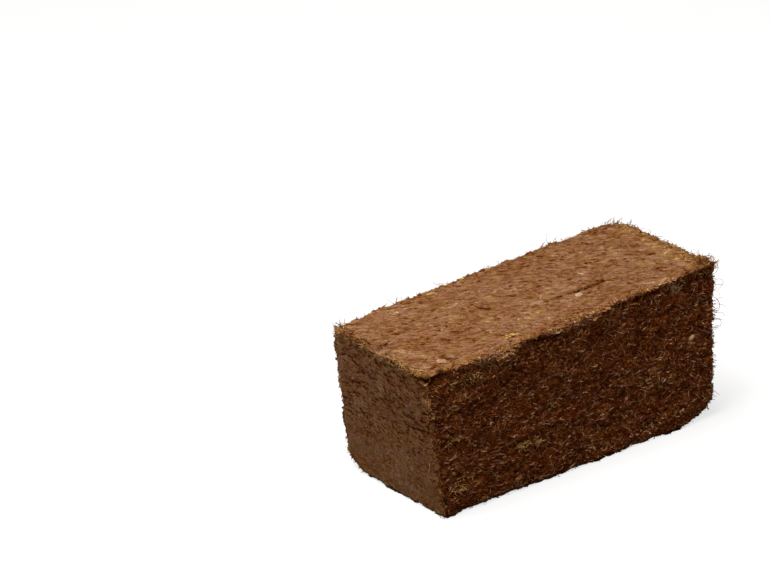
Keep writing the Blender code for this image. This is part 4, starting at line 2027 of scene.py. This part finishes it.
END_LITTER = ((ENDS, BitKind(1800, (2.6, 7.0), (1.0, 3.0), (0.05, 0.11), 30, WALL, 0.35, 0.6, 0.0, True)),)
EDGES = (
    ((Side.TOP, Side.FRONT), 0.22),
    ((Side.TOP, Side.BACK), 0.18),
    ((Side.TOP, Side.LEFT), 0.09),
    ((Side.TOP, Side.RIGHT), 0.09),
    ((Side.FRONT, Side.LEFT), 0.11),
    ((Side.BACK, Side.LEFT), 0.06),
    ((Side.FRONT, Side.RIGHT), 0.07),
    ((Side.BACK, Side.RIGHT), 0.07),
    ((Side.FRONT, Side.UNDER), 0.04),
    ((Side.BACK, Side.UNDER), 0.03),
    ((Side.LEFT, Side.UNDER), 0.02),
    ((Side.RIGHT, Side.UNDER), 0.01),
)
EDGE_MATTER = (
    FibreKind(1500, 6, (1.6, 5.2), (0.10, 0.24), 1.7, 0.31, 30, RIM),
    FibreKind(60, 14, (5.0, 12.0), (0.10, 0.16), 4.5, 0.45, 25, HAIR),
    BitKind(4400, (1.0, 3.2), (0.7, 1.9), (0.5, 1.2), 35, RIM, 0.3, 8.0),
)


def front_spot(x: float, z: float, wide: float, high: float, kind: FibreKind | BitKind) -> Spot:
    """A spot on the front, whose fibres lie mostly level."""
    return Spot((x, -45, z), (wide, 1, high), (0, -1, 0), (1, 0, 0), kind)


def top_spot(middle: Triple, wide: float, deep: float, slope: float, kind: BitKind) -> Spot:
    """A spot on the top, whose flakes lie along a slope from the X axis."""
    return Spot(middle, (wide, deep, 0), (0, 0, 1), (1, slope, 0), kind)


PATCH = BitKind(16, (2, 5.5), (0.8, 2), (0.06, 0.16), 30, OLIVE, 0.1, 0.8, flat=True)
FRONT_CHIP = BitKind(2, (3.8, 4.8), (3, 3.6), (0.8, 1), 40, BRIGHT, -0.4, flat=True)
LEFT_CHIP = BitKind(5, (3.8, 5), (2.8, 3.6), (0.4, 0.5), 25, CHIP, -0.9, flat=True)
RIGHT_CHIP = BitKind(5, (3.5, 4.8), (3, 3.8), (0.4, 0.5), 25, CHIP, -0.9, flat=True)

SPOTS = (
    # Tufts of straw in the front
    front_spot(-35.0, 27.5, 8.0, 1.8, FibreKind(105, 6, (2, 5), (0.12, 0.22), 1.6, 0.5, 40, GOLD)),
    front_spot(-85.0, 46.0, 5.0, 1.1, FibreKind(34, 6, (2.5, 6), (0.13, 0.22), 1.4, 0.4, 25, GOLD)),
    front_spot(-70.5, 80.5, 4.5, 2.6, FibreKind(46, 6, (2, 4.5), (0.13, 0.24), 1.6, 0.4, 40, GOLD)),
    front_spot(-15.8, 45.0, 3.0, 2.2, FibreKind(30, 6, (2, 5), (0.13, 0.22), 1.2, 0.4, 30, GOLD)),
    front_spot(-82.0, 17.5, 9.0, 3.0, FibreKind(42, 7, (2.5, 6), (0.12, 0.21), 1.8, 0.5, 45, GOLD)),
    front_spot(75.0, 89.3, 3.5, 1.6, FibreKind(52, 6, (2, 5), (0.14, 0.28), 1.4, 0.6, 40, BRIGHT)),
    # Golden patches of the top
    top_spot((-9.2, -22.3, 92.6), 4.0, 2.5, -0.65, PATCH),
    top_spot((-37.9, -34.4, 91.8), 5.0, 2.0, -0.65, PATCH),
    top_spot((-18.2, 44.0, 91.6), 6.0, 2.0, -0.65, PATCH),
    # Pale chips, one in the front and two in the top
    front_spot(84.1, 54.7, 0.3, 0.3, FRONT_CHIP),
    top_spot((-82.7, -33.4, 91), 0.8, 0.8, -0.88, LEFT_CHIP),
    top_spot((22.3, -20.7, 94), 0.6, 0.6, -0.3, RIGHT_CHIP),
    # Straw and thatch along the rims and corners of the top
    Spot(
        (-101.5, -4.5, 90), (0.8, 9.0, 0.5), (-0.5, 0, 1), (0.1, -1, 0),
        FibreKind(18, 12, (8, 17), (0.14, 0.24), 0.9, 0.12, 5, STRAW),
    ),
    Spot(
        (-101.0, 24.0, 90), (1.0, 13.0, 0.5), (-0.5, 0, 1), (0.1, -1, 0),
        FibreKind(26, 12, (8, 17), (0.12, 0.20), 0.9, 0.16, 5, THATCH),
    ),
    Spot(
        (-100.8, -25.0, 90), (1.0, 14.0, 0.5), (-0.5, 0, 1), (0.1, -1, 0),
        FibreKind(44, 9, (4, 11), (0.13, 0.22), 1.0, 0.2, 12, THATCH),
    ),
    Spot(
        (-100.5, 41.0, 90.5), (2.0, 3.0, 0.5), (-0.3, 0, 1), (0.4, -1, 0),
        FibreKind(30, 7, (2, 6), (0.13, 0.22), 1.2, 0.3, 40, THATCH),
    ),
    Spot(
        (99.5, -4.0, 95), (2.6, 34.0, 1), (0.3, 0, 1), (0, 1, 0),
        FibreKind(210, 6, (2, 6), (0.10, 0.20), 1.6, 0.3, 55, OLIVE),
    ),
    Spot(
        (98.0, -34.0, 96), (3.5, 8.0, 1), (0.2, 0, 1), (0, 1, 0),
        FibreKind(110, 7, (2, 6), (0.12, 0.22), 1.8, 0.35, 60, THATCH),
    ),
    Spot(
        (100.5, -43, 95), (2.0, 3.0, 2.0), (0.6, -0.3, 0.7), (0, -0.5, 0.5),
        FibreKind(12, 16, (9, 18), (0.14, 0.20), 5.4, 0.7, 40, LOOPS),
    ),
    Spot(
        (99.0, -41, 95), (4.0, 4.0, 2.0), (0.6, -0.4, 0.6), (1, 0, 0),
        FibreKind(90, 7, (3, 8), (0.12, 0.22), 1.6, 0.5, 60, RIM),
    ),
    Spot(
        (98.0, 38, 94), (5.0, 6.0, 1.5), (0.4, 0.3, 0.8), (1, -0.5, 0),
        FibreKind(90, 8, (3, 9), (0.12, 0.20), 1.8, 0.35, 60, RIM),
    ),
    Spot(
        (-101.0, 42, 90), (2.0, 5.0, 1.5), (-0.7, 0.3, 0.3), (0, 1, 0),
        FibreKind(60, 7, (3, 8), (0.12, 0.20), 1.2, 0.35, 40, RIM),
    ),
    # Loops that hang free of the right edge
    Spot(
        (102.5, -42, 72), (1.0, 4.0, 14), (1, -0.3, 0), (0, 0, 1),
        FibreKind(14, 14, (7, 15), (0.12, 0.20), 4.2, 0.7, 30, LOOPS),
    ),
)


def strands(laid: bool, *rows: tuple) -> tuple[Strand, ...]:
    """Strands, each a row of its radius, tint and hue and then the points of its line."""
    return tuple(Strand(tuple(line), radius, tint, hue, laid) for radius, tint, hue, *line in rows)


STRANDS = strands(
    True,
    (0.20, 0.84, 1.3, (-102.4, 5.4, 89.2), (-102.4, 3.2, 89.0), (-102.4, -0.4, 89.9), (-102.4, -1.1, 88.8),
     (-102.4, -3.8, 88.4), (-102.4, -6.8, 88.7), (-101.7, -8.4, 89.9), (-99.6, -7.2, 89.9)),
    (0.16, 0.72, 1.5, (-102.4, 6.1, 88.4), (-102.4, 1.1, 88.8), (-102.4, -1.2, 87.3), (-102.4, -5.0, 87.9)),
    (0.16, 0.80, 0.8, (-100.1, -6.8, 89.9), (-99.5, -8.9, 89.9), (-98.9, -11.1, 89.9)),
    (0.24, 0.86, 0.4, (-102.4, -10.4, 87.8), (-102.4, -12.8, 87.4), (-102.4, -15.5, 87.3)),
    (0.22, 0.74, 1.5, (-102.3, -15.9, 89.9), (-102.0, -20.4, 89.9), (-101.4, -24.2, 89.9),
     (-101.9, -27.9, 89.9)),
    (0.18, 0.86, 1.1, (-102.4, -18.8, 87.5), (-102.4, -23.1, 88.1), (-102.5, -28.9, 89.9)),
    (0.18, 0.70, 1.2, (-102.4, -15.0, 85.5), (-102.4, -20.4, 85.8), (-102.4, -23.5, 86.9)),
    (0.24, 0.72, 1.7, (-100.7, -28.0, 89.9), (-100.9, -32.0, 89.9), (-100.7, -36.4, 89.9),
     (-100.5, -38.6, 89.9)),
    (0.24, 0.70, 1.6, (-102.4, 22.9, 87.8), (-102.4, 19.0, 88.4), (-102.4, 13.4, 89.0),
     (-102.4, 10.8, 89.6), (-99.2, 8.1, 89.9)),
    (0.24, 0.82, 0.3, (-97.2, 22.7, 89.9), (-96.1, 19.9, 89.9), (-96.2, 16.1, 89.9)),
) + strands(
    False,
    (0.17, 0.66, 0.6, (96.0, 41.0, 94.8), (98.0, 40.0, 95.8), (100.1, 38.7, 95.6), (102.0, 36.5, 93.8),
     (103.7, 34.7, 92.6), (106.3, 32.5, 91.6)),
    (0.15, 0.60, 1.0, (90.1, 45.2, 95.7), (93.3, 43.5, 96.3), (95.2, 42.7, 97.1)),
    (0.20, 0.78, 1.2, (94.4, -28.4, 97.5), (96.6, -29.6, 99.4), (97.9, -30.3, 100.4)),
    (0.18, 0.66, 1.3, (100.5, -34.4, 96.9), (102.5, -35.4, 97.8), (104.7, -36.6, 98.1),
     (106.4, -38.4, 96.8), (107.4, -40.0, 95.0), (107.7, -41.5, 92.7), (107.2, -42.3, 90.5),
     (105.3, -42.4, 88.5), (103.0, -42.4, 87.9)),
    (0.15, 0.60, 1.4, (101.9, -35.9, 95.7), (103.9, -37.0, 96.8), (105.9, -38.7, 95.7),
     (106.8, -40.3, 93.8), (106.7, -41.5, 91.5), (103.5, -41.9, 90.4)),
    (0.14, 0.56, 1.1, (102.2, -42.6, 83.2), (104.2, -43.1, 84.7), (106.7, -44.5, 85.1),
     (107.9, -46.0, 83.9), (106.9, -46.5, 81.8), (103.0, -46.3, 79.3)),
    (0.13, 0.52, 1.0, (102.6, -43.2, 82.6), (105.7, -45.6, 81.9), (108.8, -47.9, 81.4)),
    (0.19, 0.66, 1.4, (100.6, -43.4, 75.7), (101.8, -44.4, 75.2), (103.0, -46.0, 73.8),
     (103.5, -47.5, 71.5), (102.8, -48.3, 69.3), (101.5, -48.5, 67.4), (99.2, -47.4, 66.7)),
    (0.15, 0.60, 0.9, (99.9, -45.7, 65.5), (103.0, -47.5, 65.8), (104.6, -48.6, 65.7),
     (105.0, -50.2, 63.4)),
    (0.16, 0.58, 0.9, (99.1, -45.5, 60.9), (100.9, -46.1, 61.7), (103.0, -47.4, 62.1), (103.5, -49.0, 59.8),
     (102.0, -49.1, 57.6), (98.3, -47.2, 56.7)),
)


def main() -> None:
    """Builds the bale and its studio."""
    logging.basicConfig(level=logging.INFO, format="%(name)s: %(message)s")
    View().build()
    Studio().build()
    shared = SharedGroups()
    shell = Skin(CrookedBox()).build(SkinFinish(), shared)
    fibre = LooseFinish("coir fibre", 0.76, 0.05, 1100.0, 0.16).material(shared)
    crumb = LooseFinish("coir crumb", 0.88, 0.02, 1500.0, 0.16).material(shared)
    flake = LooseFinish("coir flake", 0.88, 0.02, 900.0, 0.18, 0.10, 0.08, 0.17, 0.60).material(shared)
    wall_flake = LooseFinish("coir wall flake", 0.9, 0.02, 900.0, 0.14, 0.08, 0.05, 0.08, 0.12, 0.6)
    FibreMat("front_fibres", 21, (Side.FRONT,), TORN_FIBRES).build(shell, fibre)
    FibreMat("back_fibres", 22, (Side.BACK,), TORN_FIBRES).build(shell, fibre)
    FibreMat("top_fibres", 23, (Side.TOP,), TOP_FIBRES).build(shell, fibre)
    FibreMat("end_fibres", 24, ENDS, END_FIBRES).build(shell, fibre)
    Litter("torn_flakes", 31, TORN_LITTER).build(shell, crumb)
    Litter("pressed_flakes", 32, PRESSED_LITTER).build(shell, flake)
    Litter("end_flakes", 33, END_LITTER).build(shell, wall_flake.material(shared))
    Fringe("edge_fringe", 41, EDGES, EDGE_MATTER).build(shell, fibre)
    Spots("tufts_and_chips", 51, SPOTS).build(shell, fibre)
    Strands("single_strands", 61, STRANDS).build(shell, fibre)


if __name__ == "__main__":
    main()
